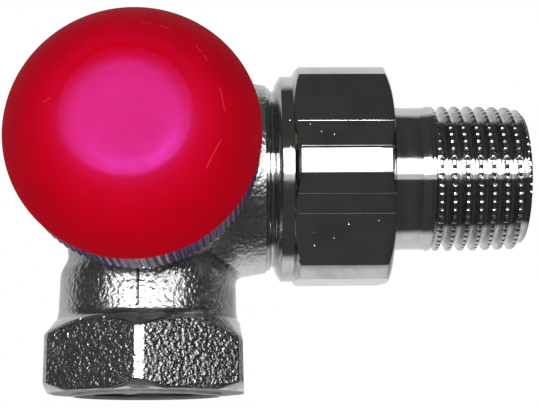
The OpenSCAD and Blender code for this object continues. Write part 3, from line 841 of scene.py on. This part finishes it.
@dataclass
class ValveBody:
    """The plated casting with its bores, its inlet thread and its turned outlet spigot."""

    hex_flats: float = 27.0
    hex_corners: float = 30.5
    hex_top: float = 10.0
    ring_r: float = 10.495
    ring_proud: float = 0.4
    chamfer_r: float = 13.9
    chamfer_deg: float = 36.8
    top_chamfer_deg: float = 35.0
    side_drop: float = 2.0
    side_draft: float = 0.012
    back_share: float = 0.45
    foot_r: float = 13.3
    foot_round: float = 2.2
    neck_r: float = 12.345
    neck_foot_r: float = 12.5
    chest_r: float = 11.295
    shoulder_z: float = 17.0
    shoulder_len: float = 2.3
    join_z: float = 14.5
    barrel_r: float = 13.8
    barrel_len: float = 17.0
    boss_r: float = 14.25
    boss_end_r: float = 13.6
    boss_len: float = 16.75
    blend: float = 2.6
    corner_blend: float = 1.3
    search: Point = (8.0, 30.0)
    halvings: int = 26
    inlet_bore_r: float = 9.3155
    inlet_depth: float = 14.0
    inlet_lip: float = 0.45
    rise_r: float = 4.6
    throat_r: float = 6.4
    chamber_r: float = 9.6
    head_bore_r: float = 11.05
    outlet_bore_r: float = 7.5
    outlet_start: float = 12.4
    spigot_r: float = 13.2205
    spigot_len: float = 28.0
    socket_r: float = 11.12
    socket_cone: float = 2.6

    def build(self, palette: Palette) -> None:
        """Makes the casting, the inlet's thread and the spigot, and dresses them."""
        casting = self.casting()
        dress(casting, "valve_body", Slot.CASTING, palette.cast, "valve_body")
        casting.data.materials.append(palette.bore)
        self.mark_machined(casting)
        dress(self.inlet_thread(), "valve_body", Slot.CASTING, palette.bore)
        dress(self.spigot(), "valve_body", Slot.CASTING, palette.spigot)
        dress(self.boss_end(), "valve_body", Slot.CASTING, palette.cast)

    def neck_radius(self, z: Array | float) -> Array | float:
        """Radius of neck and chest at a height: a slight taper, then the shoulder's step in."""
        taper = self.neck_r + (self.neck_foot_r - self.neck_r) * np.clip((self.shoulder_z - z) / 6, 0, 1)
        step = ramp(z, self.shoulder_z - 0.3, self.shoulder_z + self.shoulder_len + 0.3)
        return taper + (self.chest_r - self.neck_r) * step

    def boss_fall(self, x: Array) -> Array:
        """How far the boss has drawn in at a place along it."""
        return (self.boss_r - self.boss_end_r) * ramp(x, 11.5, 18.5) * 1.35

    def distance(self, p: Array) -> Array:
        """Signed distance, close to true near the skin, from the blended casting.

        The barrel is a round-backed cylinder along -Y, the boss a swelling cylinder
        along +X and the neck a tapered one along Z; their distances are joined by a
        smooth minimum, which leaves a fillet where they meet.

        Args:
            p: Points in the valve's frame.

        Returns:
            Negative inside the casting.
        """
        x, y, z = p[..., 0], p[..., 1], p[..., 2] - AXIS_H
        tube = np.sqrt(x * x + z * z + np.maximum(y, 0) ** 2) - self.barrel_r
        barrel = -smooth_min(-tube, y + self.barrel_len, 0.5)
        swell = self.barrel_r + (self.boss_r - self.barrel_r) * ramp(x, 0, 6) - self.boss_fall(x)
        side = np.sqrt(y * y + z * z + np.minimum(x, 0) ** 2) - swell
        boss = -smooth_min(-side, self.boss_len - 0.7 - x, 0.4)
        neck = np.maximum(np.hypot(x, y) - self.neck_radius(p[..., 2]), z - 4)
        return smooth_min(smooth_min(barrel, neck, self.blend), boss, self.corner_blend)

    def casting(self) -> Object:
        """The casting's skin as one grid of angle and height, then its bores cut out."""
        angles = hexagon_turns(self.hex_flats, self.hex_corners)
        skin = np.concatenate([ring_points(angles, self.foot_rings(angles)), self.cast_cap(angles)])
        casting = make_mesh("valve_casting", skin, close_rows=False, sharp=28)
        cut_with(casting, self.bores(), sharp=28)
        return casting

    def foot_rings(self, angles: Array) -> list[tuple]:
        """Rings of the hexagon and the neck, from the mouth up to the join.

        The hexagon's upper chamfer is cut lower towards the outlet, and a little
        lower towards the back: there the share called side is above 0.

        Args:
            angles: Angles of the hexagon's ring.

        Returns:
            Radius and height of each ring.
        """
        flat, proud, ring = self.hex_flats / 2, self.ring_proud, self.ring_r
        rise, fall = slope(self.chamfer_deg), slope(self.top_chamfer_deg)
        corner = hexagon_radius(angles, self.hex_flats, self.hex_corners)
        facing = np.cos(angles)
        side = np.clip(2 * np.abs(facing) - 1, 0, 1) ** 1.5 * np.where(facing > 0, 1.0, self.back_share)
        low = proud + np.maximum(corner - self.chamfer_r, 0) * rise
        high = self.hex_top - (corner - flat) * fall - self.side_drop * side
        rings = [(0.0, 0.0), (6.0, 0.0), (ring - 0.12, 0.0), (ring, 0.12), (ring, proud)]
        rings += [(flat - 0.55, proud), (flat - 0.15, proud + 0.02)]
        for radius in (flat + (corner - flat) * share for share in (0.0, 0.25, 0.5, 0.75)):
            rings.append((radius, proud + np.maximum(radius - self.chamfer_r, 0) * rise + 0.03))
        rings += [(corner - 0.05, low + 0.02), (corner, low + 0.16)]
        for share in np.linspace(0.1, 0.9, 7):
            rings.append((corner * (1 - self.side_draft * side * share), low + (high - low) * share))
        corner = corner * (1 - self.side_draft * side)
        rings += [(corner, high - 0.2), (corner - 0.06, high - 0.02)]
        foot, top = self.foot_r - 0.35 * side, self.hex_top + (flat - self.foot_r) * fall
        for share in np.linspace(0.15, 1.0, 6):
            rings.append((corner + (foot - corner) * share, high + (top - high) * share))
        start = top + self.foot_round
        neck = self.neck_radius(start)
        for t in np.linspace(0.12, 1.0, 9) * math.pi / 2:
            height = top + self.foot_round * (1 - math.cos(t))
            rings.append((neck + (foot - neck) * (1 - math.sin(t)), height))
        heights = [start + (self.join_z - start) * share for share in (0.4, 0.8, 1.0)]
        return rings + [(self.neck_radius(z), z) for z in heights]

    def cast_cap(self, angles: Array, rows: int = 190) -> Array:
        """Rings of the casting above the join.

        Each point lies on a line from the crossing of the axes, at the distance where
        the blended casting ends, found by halving.
        """
        low = math.atan2(self.neck_radius(self.join_z), self.join_z - AXIS_H)
        polar = np.linspace(low, 0.0, rows + 1)[1:, None] + 0 * angles
        across, up = np.sin(polar), np.cos(polar)
        line = np.stack([across * np.cos(angles), across * np.sin(angles), up], -1)
        centre = np.array([0.0, 0.0, AXIS_H])
        near, far = (np.full(polar.shape, reach) for reach in self.search)
        for _ in range(self.halvings):
            middle = (near + far) / 2
            inside = self.distance(centre + line * middle[..., None]) < 0
            near, far = np.where(inside, middle, near), np.where(inside, far, middle)
        return centre + line * near[..., None]

    def bores(self) -> list[Object]:
        """The solids that the water ways and the head's bore take out of the casting."""
        lip, depth, rise, bore = self.inlet_lip, self.inlet_depth, self.rise_r, self.outlet_bore_r
        mouth = [(0, -1), (10.2, -1), (10.2, 0.0), (9.75, lip), (10.3, 0.6), (10.3, depth)]
        throat = [(0, 2.1), (self.throat_r, 2.1), (self.throat_r, 1.5), (self.chamber_r, 1.5)]
        head = [(self.chamber_r, 8.1), (self.head_bore_r, 8.1), (self.head_bore_r, 18), (0, 18)]
        way = [(0, 7.4), (bore, 7.4), (bore, self.outlet_start), (8.2, self.outlet_start)]
        shapes = (
            ("cut_inlet", Axis.INLET, 128, 0.12, [*mouth, (0, depth + 10.2 * slope(20))]),
            ("cut_rise", Axis.INLET, 72, 0.02, [(0, 12.0), (rise, 12.0), (rise, 35.7), (0, 35.7)]),
            ("cut_seat", Axis.HEAD, 72, 0.02, [(0, -rise), (5.2, -rise), (5.2, 3.0), (0, 3.0)]),
            ("cut_chamber", Axis.HEAD, 96, 0.05, throat + head),
            ("cut_outlet", Axis.OUTLET, 96, 0.02, [*way, (8.2, 30), (0, 30)]),
        )
        cutters = [
            lathe(name, axis, turns(columns), soften(profile, cut), closed=False)
            for name, axis, columns, cut, profile in shapes
        ]
        cutters[1].data.transform(Matrix.Translation((0, rise * MM, 0)))
        return cutters

    def mark_machined(self, casting: Object) -> None:
        """Gives the bored and faced surfaces the second material: the bores and the mouth ring."""
        mesh = casting.data
        middle = np.empty(len(mesh.polygons) * 3, np.float32)
        mesh.polygons.foreach_get("center", middle)
        x, y, z = (middle.reshape(-1, 3) / MM).T
        inlet = (np.hypot(x, y) < self.ring_r - 0.05) & (z < 18.2) & ((z < 0.005) | (z > 0.46))
        near = (np.hypot(x, z - AXIS_H) < 11.3) & (np.hypot(x, y) < 17.5)
        head = near & (y > -17.2) & (y < 6)
        outlet = (np.hypot(y, z - AXIS_H) < 8.4) & (x > 6) & (x < 17)
        bored = inlet | head | outlet | (y < -16.6)
        mesh.polygons.foreach_set("material_index", bored.astype(np.int32))
        mesh.update()

    def inlet_thread(self) -> Object:
        """Female pipe thread: r = bore + depth times the thread's wave, faded at both ends."""
        angles, start, end = turns(144), self.inlet_lip, self.inlet_depth - 0.1
        z = np.linspace(start, end, 150)[:, None]
        fade = ramp(z, start, 1.6) * (1 - ramp(z, 12.3, 13.6))
        inner = self.inlet_bore_r + PIPE_DEPTH * thread_wave(z, angles) * fade
        inner = np.minimum(inner + 0.35 * (1 - ramp(z, start, 0.9)), 10.28)
        back = [(10.5, end), (10.5, start)]
        return lathe("inlet_thread", Axis.INLET, angles, (inner, z), back, sharp=40)

    def spigot(self) -> Object:
        """Turned spigot: collar, groove, G 3/4 male thread and the socket for the tail's nose."""
        angles, r, bore = turns(160), self.spigot_r, self.outlet_bore_r
        start, end, foot = self.outlet_start, self.spigot_len, self.spigot_len - self.socket_cone
        head = [(13.5, 15.6), (13.5, 16.74), (r, 16.82), (r, 17.15)]
        head += [(12.7, 17.4), (12.7, 17.75), (r, 18.0), (r, 18.3)]
        x = np.linspace(18.4, 27.75, 110)[:, None]
        depth = PIPE_DEPTH * thread_wave(x, angles) * ramp(x, 18.4, 19.4)
        thread = r - np.maximum(depth, ramp(x, 27.0, 28.0))
        mouth = [(r - 1.25, end), (self.socket_r, end), (self.socket_r - self.socket_cone, foot)]
        mouth += [(bore, foot), (bore, start), (8.6, start), (8.6, 15.6)]
        blocks = soften(head, 0.07), (thread, x), soften(mouth, 0.06)
        return lathe("outlet_spigot", Axis.OUTLET, angles, *blocks, sharp=38)

    def boss_end(self) -> Object:
        """The crisp end of the cast boss, flush with the casting's skin where it starts."""
        inner, start, end = 13.0, 12.6, self.boss_len
        x = np.linspace(start, end - 0.12, 12)
        skin = self.boss_r - self.boss_fall(x) + 0.012
        section = [(inner, start), *zip(skin, x), (skin[-1] - 0.14, end), (inner, end)]
        return lathe("boss_end", Axis.OUTLET, turns(160), section, sharp=38)


@dataclass
class UnionNut:
    """The turned and milled union nut."""

    flats: float = 30.0
    corners: float = 32.8
    collar_r: float = 14.8
    collar_len: float = 2.4
    chamfer_deg: float = 28.0
    start: float = 18.05
    end: float = 34.1
    bore_r: float = 13.30
    bore_end: float = 28.8
    rebate_r: float = 12.1
    rebate_end: float = 31.2
    eye_r: float = 10.53
    turn_deg: float = 3.6

    def build(self, palette: Palette) -> None:
        """Makes and dresses the nut."""
        dress(self.nut(), "nut", Slot.TURNED, palette.nut, "union_nut")

    def nut(self) -> Object:
        """The nut as a grid of angle and section.

        Every column has the same section points. Those of the hexagon lie at the
        hexagon's radius for that angle, and both chamfers move along the axis with it,
        which draws the curved edges where the cones cut the flats.
        """
        turn, rise = math.radians(self.turn_deg), slope(self.chamfer_deg)
        angles = hexagon_turns(self.flats, self.corners, turn, 40)
        radius = hexagon_radius(angles, self.flats, self.corners, turn)
        flat, collar, bore, eye = self.flats / 2, self.collar_r, self.bore_r, self.eye_r
        start, step, end = self.start, self.start + self.collar_len, self.end
        rebate_end, bore_end = self.rebate_end, self.bore_end
        inner = step + (radius - collar) * rise
        outer = end - (radius - flat) * rise
        rings = [
            *((bore + out, start + along) for out, along in ((0, 0.1), (0.1, 0), (0.28, 0.02))),
            *((collar - cut, start + along) for cut, along in ((0.16, 0.66), (0.04, 0.76))),
            *((collar, start + along) for along in (0.9, 1.6, 2.3)),
            (collar + 0.02, step),
            *((collar + (radius - collar) * s, step + (inner - step) * s) for s in (0.5, 0.94)),
            *((radius - cut, inner + along) for cut, along in ((0.02, 0.03), (0, 0.12))),
            *((radius, inner + (outer - inner) * s) for s in (0.15, 0.5, 0.85)),
            *((radius - cut, outer - along) for cut, along in ((0, 0.12), (0.02, 0.03))),
            *((radius + (flat - radius) * s, outer + (end - outer) * s) for s in (0.06, 0.5, 0.95)),
            *((wide, end) for wide in (flat - 0.25, 12.6)),
            *((eye + out, end - along) for out, along in ((0.22, 0), (0.03, 0.05), (0, 0.2))),
            *((eye + out, rebate_end + along) for out, along in ((0, 0.1), (0.07, 0))),
            *((self.rebate_r, along) for along in (rebate_end, bore_end)),
            (bore, bore_end),
        ]
        return lathe("union_nut_turned", Axis.OUTLET, angles, rings, sharp=24)


@dataclass
class UnionTail:
    """The tail with its nose, flange, neck and notched tapered thread."""

    bore_r: float = 7.6
    neck_r: float = 10.45
    flange_r: float = 11.9
    groove_r: float = 8.32
    start: float = 25.7
    flange_start: float = 28.1
    flange_end: float = 31.2
    thread_start: float = 40.3
    end: float = 53.5
    gauge_r: float = 10.4775
    gauge_len: float = 8.2
    notches: int = 54
    notch_depth: float = 0.13
    notch_reach: float = 0.2
    waist: tuple[Point, ...] = (
        (0.0, 34.0),
        (0.03, 34.6),
        (0.09, 35.2),
        (0.17, 35.9),
        (0.20, 36.5),
        (0.20, 38.25),
        (0.24, 38.4),
        (0.20, 38.55),
        (0.17, 39.3),
        (0.06, 39.7),
    )

    def build(self, palette: Palette) -> None:
        """Makes and dresses the tail."""
        dress(self.tail(), "tail", Slot.TURNED, palette.tail, "union_tail")

    def tail(self) -> Object:
        """The tail as a grid of angle and section, with its thread as a helical wave.

        In the thread, r = crest - depth times the wave, where the crest shrinks by
        1/32 for each millimetre past the gauge plane. Evenly spaced notches cut the crest
        alone: each is a smooth dent that reaches a share of the spacing to both sides,
        and the columns stand closer together there.
        """
        spacing = np.array([-0.5, -0.3, -0.19, -0.12, -0.06, 0.0, 0.06, 0.12, 0.19, 0.3])
        angles = (np.arange(self.notches)[:, None] + spacing).ravel() * TAU / self.notches
        flange, foot, groove, bore = self.flange_r, self.flange_start, self.groove_r, self.bore_r
        nose = [(8.62, self.start), (9.16, 26.24), (groove, 26.24), (groove, 27.56), (10.48, 27.56)]
        nose += [(11.02, foot), (flange, foot), (flange, self.flange_end), (self.neck_r, self.flange_end)]
        nose += [(self.neck_r - fall, along) for fall, along in self.waist]
        start, end = self.thread_start, self.end
        x = np.linspace(start - 0.5, end - 0.1, 132)[:, None]
        crest = np.minimum(self.neck_r, self.gauge_r - (x - end + self.gauge_len) / 32)
        crest = crest - 0.9 * ramp(x, end - 1.0, end + 0.1)
        wave = thread_wave(x - start, angles) * ramp(x, start - 0.3, start + 0.9)
        notch = 1 - ramp(np.tile(np.abs(spacing), self.notches), 0.0, self.notch_reach)
        notch = notch * (1 - ramp(wave, 0.05, 0.3)) * ramp(x, start, start + 0.6)
        thread = crest - PIPE_DEPTH * wave - self.notch_depth * notch
        inside = [(9.35, end), (bore + 0.15, end), (bore, end - 0.15), (bore, 40.0), (bore, self.start)]
        return lathe("union_tail_turned", Axis.OUTLET, angles, nose, (thread, x), inside, sharp=40)


@dataclass
class ScrewCap:
    """The red cap with its violet grip ring."""

    r: float = 15.95
    seam: float = 28.0
    top: float = 37.2
    run: float = 9.2
    start_deg: float = 36.5
    dish: float = 0.04
    dish_r: float = 5.0
    brow_from: float = 5.6
    brow_to: float = 7.5
    brow_slope: float = 0.14
    wall: float = 1.6
    rebate_r: float = 14.75
    collar_top: float = 29.4
    relief_top: float = 30.7
    boss_r: float = 4.5
    boss_end: float = 33.1
    grip_start: float = 19.5
    grip_r: float = 15.85
    thread_in: float = 22.0
    skirt_bore_r: float = 14.7
    bore_r: float = 14.08
    flutes: int = 100
    flute_depth: float = 0.17

    def build(self, palette: Palette) -> None:
        """Makes and dresses the cap and its ring."""
        dress(self.shell(), "cap", Slot.RED, palette.red, "cap_shell")
        dress(self.grip(), "cap", Slot.VIOLET, palette.violet, "grip_ring")

    def dome(self, inset: float, start: float, end_slope: float = 0.0) -> Array:
        """Arc of an ellipse from a height up to the top, drawn inwards by an inset.

        The ellipse meets the seam at its start angle, so that the side leans in there.

        Args:
            inset: Distance inwards from the outer surface.
            start: Height along the head's axis at which the arc starts.
            end_slope: Fall by each millimetre outwards at which the arc ends near the top.

        Returns:
            Radius and height of 48 points.
        """
        lean = math.radians(self.start_deg)
        across = self.run / math.cos(lean) - inset
        rise = (self.top - self.seam) / (1 - math.sin(lean))
        middle, tall = self.top - rise, rise - inset
        low = math.asin((start - middle) / tall)
        t = np.linspace(low, math.atan2(tall, across * end_slope), 48)
        return np.stack([self.r - self.run + across * np.cos(t), middle + tall * np.sin(t)], 1)

    def shell(self) -> Object:
        """The cap: a dished flat, the dome, the skirt's rebate for the ring and the boss inside.

        The dish's depth is a smooth step inwards from its edge. Between the flat and
        the dome lies a brow, which falls with the square of the distance from the flat
        until it has the dome's slope; the dome is stretched along the axis to meet it.
        """
        top, seam, bore, boss_r = self.top, self.seam, self.bore_r, self.boss_r
        brow = self.brow_to - self.brow_from
        r = np.linspace(0.0, self.brow_to, 40)[:-1]
        fall = self.brow_slope / (2 * brow)
        drop = fall * np.maximum(r - self.brow_from, 0) ** 2 + self.dish * (1 - ramp(r, 0.0, self.dish_r))
        outer = self.dome(0.0, seam, self.brow_slope)
        stretch = (top - fall * brow**2 - seam) / (outer[-1, 1] - seam)
        outer[:, 1] = seam + (outer[:, 1] - seam) * stretch
        skirt = [(self.r - 0.1, seam), (self.rebate_r, seam), (self.rebate_r, self.collar_top)]
        skirt += [(bore, self.collar_top), (bore, self.relief_top)]
        boss = [(boss_r, top - self.wall), (boss_r, self.boss_end + 0.2)]
        boss += [(boss_r - 0.2, self.boss_end), (0, self.boss_end)]
        blocks = (r[:, None], (top - drop)[:, None]), outer[::-1], skirt
        inner = self.dome(self.wall, self.relief_top), boss
        return lathe("screw_cap", Axis.HEAD, turns(192), *blocks, *inner, closed=False, sharp=40)

    def grip(self) -> Object:
        """The grip ring: its radius less the flutes' depth times a wave that is wide at the crest.

        Its skirt, bored wider, reaches back over the flange of the insert.
        """
        angles, start, seam = turns(self.flutes * 8), self.grip_start, self.seam
        x = np.concatenate([[start, start + 0.12], np.linspace(start + 0.35, seam, 12)])[:, None]
        wave = 0.5 - 0.5 * np.cos(angles * self.flutes)
        fade = 1 - ramp(x, seam - 0.35, seam) * 0.75
        radius = self.grip_r - self.flute_depth * (1 - ramp(wave, 0.25, 0.7)) * fade
        radius[:2] -= np.array([[0.35], [0.12]])
        rebate, collar, foot = self.rebate_r, self.collar_top, self.thread_in
        bore, skirt = self.bore_r, self.skirt_bore_r
        inside = [(rebate, seam), (rebate, collar - 0.1), (rebate - 0.1, collar), (14.2, collar)]
        inside += [(bore, collar - 0.1), (bore, foot + 0.12), (bore + 0.12, foot), (skirt, foot)]
        inside += [(skirt, start + 0.1), (skirt + 0.1, start)]
        return lathe("fluted_grip_ring", Axis.HEAD, angles, (radius, x), inside, sharp=35)


@dataclass
class ReturnSpring:
    """The return spring, made at one length; the real one shortens with the stem."""

    wire_d: float = 0.8
    coil_r: float = 4.4
    foot: float = 9.9
    length: float = 7.9
    open_turns: int = 4
    closed_share: float = 1.06

    def build(self, palette: Palette) -> None:
        """Makes the spring, gives it the steel and hides the part's own spring."""
        coil = self.coil()
        coil.data.materials.append(palette.steel)
        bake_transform(coil)
        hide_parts("return_spring")

    def coil(self) -> Object:
        """A wire of round section along a helix: at turn t the angle is t turns.

        The height rises by a wire's width in the closed first and last turn and evenly
        between them. The section's two directions are the helix's radius and the axis.
        """
        total, height = self.open_turns + 2, self.length - self.wire_d
        closed = self.wire_d * self.closed_share
        t = np.concatenate([[0], np.linspace(0, total, 32 * total + 1), [total]])[:, None]
        rise = np.interp(t, [0, 1, total - 1, total], [0, closed, height - closed, height])
        thick = np.full(t.shape, self.wire_d / 2)
        thick[[0, -1]] = 0.0
        section, angle = turns(10), TAU * t
        radius = self.coil_r + thick * np.cos(section)
        along = self.foot + self.wire_d / 2 + rise + thick * np.sin(section)
        rings = np.stack([radius * np.cos(angle), radius * np.sin(angle), along], -1)
        return make_mesh("return_spring_coil", place(rings, Axis.HEAD), close_rows=False, sharp=60)


@dataclass
class Internals:
    """The pieces inside, which keep their solids, listed by the finish that they take."""

    brass: tuple[str, ...] = ("insert_housing", "gland_nut", "spindle", "valve_plate", "stud_nut")
    steel: tuple[str, ...] = ("pressure_pin", "spring_plate", "spindle_clip", "seal_washer")
    rubber: tuple[str, ...] = ("insert_o_ring", "gland_o_ring", "tail_o_ring", "valve_seal")
    ivory: tuple[str, ...] = ("guide_bush",)

    def build(self, palette: Palette, nodes: dict[str, Object]) -> None:
        """Gives each inner node the palette's material of the same name."""
        for finish, names in vars(self).items():
            for name in names:
                for slot in nodes[name].material_slots:
                    slot.material = getattr(palette, finish)
                LOG.info("%s takes %s", name, finish)


# Studio


@dataclass(frozen=True)
class SoftBox:
    """A soft box before the valve, given by the angles in degrees that it spans from there."""

    name: str
    azimuth: Point
    elevation: Point
    level: float
    distance: float
    in_gloss: bool = True
    in_colour: bool = True

    def build(self) -> None:
        """Makes the lamp, facing +Y and hidden from the camera itself."""
        left, right = (self.distance * slope(angle) for angle in self.azimuth)
        low, high = (self.distance * slope(angle) for angle in self.elevation)
        data = bpy.data.lights.new(self.name, "AREA")
        data.shape, data.size, data.size_y = "RECTANGLE", (right - left) * MM, (high - low) * MM
        data.energy = 4 * self.level * data.size * data.size_y
        obj = bpy.data.objects.new(self.name, data)
        obj.location = Vector(((left + right) / 2, -self.distance, (low + high) / 2)) * MM
        obj.rotation_euler = (math.pi / 2, 0, 0)
        obj.visible_camera = False
        obj.visible_glossy, obj.visible_diffuse = self.in_gloss, self.in_colour
        bpy.context.scene.collection.objects.link(obj)


@dataclass
class Studio:
    """Camera, soft boxes, world and floor."""

    eye: tuple[float, float, float] = (13.646, -176.047, -8.325)
    yaw: float = -0.0208
    pitch: float = 0.2001
    roll: float = 0.0089
    focal_px: float = 1245.36
    frame_px: int = 539
    sensor_mm: float = 36.0
    boxes: tuple[SoftBox, ...] = (
        SoftBox("wide_box", (-41, 44), (-3, 22), 1.6, 1200),
        SoftBox("bright_box", (-21.6, 10.4), (-3, 22), 4.3, 1190, in_colour=False),
        SoftBox("low_box", (-9, 7.5), (2, 12), 18.0, 1180, in_colour=False),
        SoftBox("dim_box", (-41, 44), (-12, -3), 0.5, 1200),
        SoftBox("under_box", (-40, 40), (-45, -15), 1.4, 600, in_gloss=False),
    )
    dark_level: float = 0.055
    back_level: float = 0.75
    ambient: float = 0.10
    floor_glow: float = 0.6
    floor_colour: Colour = (0.86, 0.86, 0.86)
    floor_reach: float = 2000.0
    floor_z: float = -0.2

    def build(self) -> None:
        """Sets up the whole studio."""
        bpy.context.scene.view_settings.view_transform = "Standard"
        self.camera()
        for box in self.boxes:
            box.build()
        self.world()
        self.floor()

    def camera(self) -> None:
        """A camera at the photograph's place; its axes are those of the fitted view."""
        turn = Matrix.Rotation(self.yaw, 3, "Z") @ Matrix.Rotation(self.pitch, 3, "X")
        c, s = math.cos(self.roll), math.sin(self.roll)
        axes = Matrix([turn @ Vector(axis) for axis in ((c, 0, -s), (s, 0, c), (0, -1, 0))]).transposed()
        data = bpy.data.cameras.new("photo_camera")
        data.sensor_fit, data.sensor_width = "HORIZONTAL", self.sensor_mm
        data.lens = self.focal_px * self.sensor_mm / self.frame_px
        data.clip_start, data.clip_end = 0.01, 20.0
        obj = bpy.data.objects.new("photo_camera", data)
        obj.matrix_world = Matrix.Translation(Vector(self.eye) * MM) @ axes.to_4x4()
        bpy.context.scene.collection.objects.link(obj)
        bpy.context.scene.camera = obj

    def world(self) -> None:
        """White to the camera; to metal, white behind the valve and dark in front of it."""
        world = bpy.data.worlds.new("studio")
        world.use_nodes = True
        bpy.context.scene.world = world
        hand = Nodes(world.node_tree)
        hand.tree.nodes.clear()
        towards = hand.add("ShaderNodeTexCoord").outputs["Generated"]
        across, back = hand.part(towards, Axis.OUTLET), hand.part(towards, Axis.HEAD)
        level = hand.product(
            hand.spread(back, 0.20, 0.46, self.dark_level, self.back_level),
            hand.spread(across, -0.6, -0.15, 0.6, 1.0),
            hand.spread(across, 0.15, 0.6, 1.0, 0.35),
        )
        path = hand.add("ShaderNodeLightPath").outputs
        level = hand.between(path["Is Glossy Ray"], self.ambient, level)
        seen = hand.math("MAXIMUM", path["Is Camera Ray"], path["Is Transmission Ray"])
        level = hand.between(seen, level, 1.0)
        light = hand.add("ShaderNodeBackground", {"Color": (1, 1, 1, 1), "Strength": level}).outputs[0]
        hand.add("ShaderNodeOutputWorld", {"Surface": light})

    def floor(self) -> None:
        """A plain pale floor under the valve, clear from below, where the photograph's camera stands."""
        mesh = bpy.data.meshes.new("studio_floor")
        reach, low = self.floor_reach * MM, self.floor_z * MM
        corners = [(x * reach, y * reach, low) for x, y in ((-1, -1), (1, -1), (1, 1), (-1, 1))]
        mesh.from_pydata(corners, [], [(0, 1, 2, 3)])
        obj = bpy.data.objects.new("studio_floor", mesh)
        bpy.context.scene.collection.objects.link(obj)
        material = bpy.data.materials.new("pale_floor")
        material.use_nodes = True
        hand, colour = Nodes(material.node_tree), (*self.floor_colour, 1)
        hand.tree.nodes.clear()
        pale = hand.add("ShaderNodeBsdfDiffuse", {"Color": colour}).outputs[0]
        glow = hand.add("ShaderNodeEmission", {"Color": colour, "Strength": self.floor_glow}).outputs[0]
        pale = hand.add("ShaderNodeAddShader", {0: pale, 1: glow}).outputs[0]
        clear = hand.add("ShaderNodeBsdfTransparent").outputs[0]
        below = hand.add("ShaderNodeNewGeometry").outputs["Backfacing"]
        mix = hand.add("ShaderNodeMixShader", {0: below, 1: pale, 2: clear}).outputs[0]
        hand.add("ShaderNodeOutputMaterial", {"Surface": mix})
        mesh.materials.append(material)
        obj.visible_glossy = obj.visible_diffuse = obj.visible_shadow = False


def main() -> None:
    """Builds the dressed valve in its studio."""
    logging.basicConfig(level=logging.INFO, format="%(name)s: %(message)s")
    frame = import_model()
    Studio().build()
    palette = Palette()
    for assembly in (ValveBody(), UnionNut(), UnionTail(), ScrewCap(), ReturnSpring()):
        assembly.build(palette)
    Internals().build(palette, frame["nodes"])


if __name__ == "__main__":
    main()
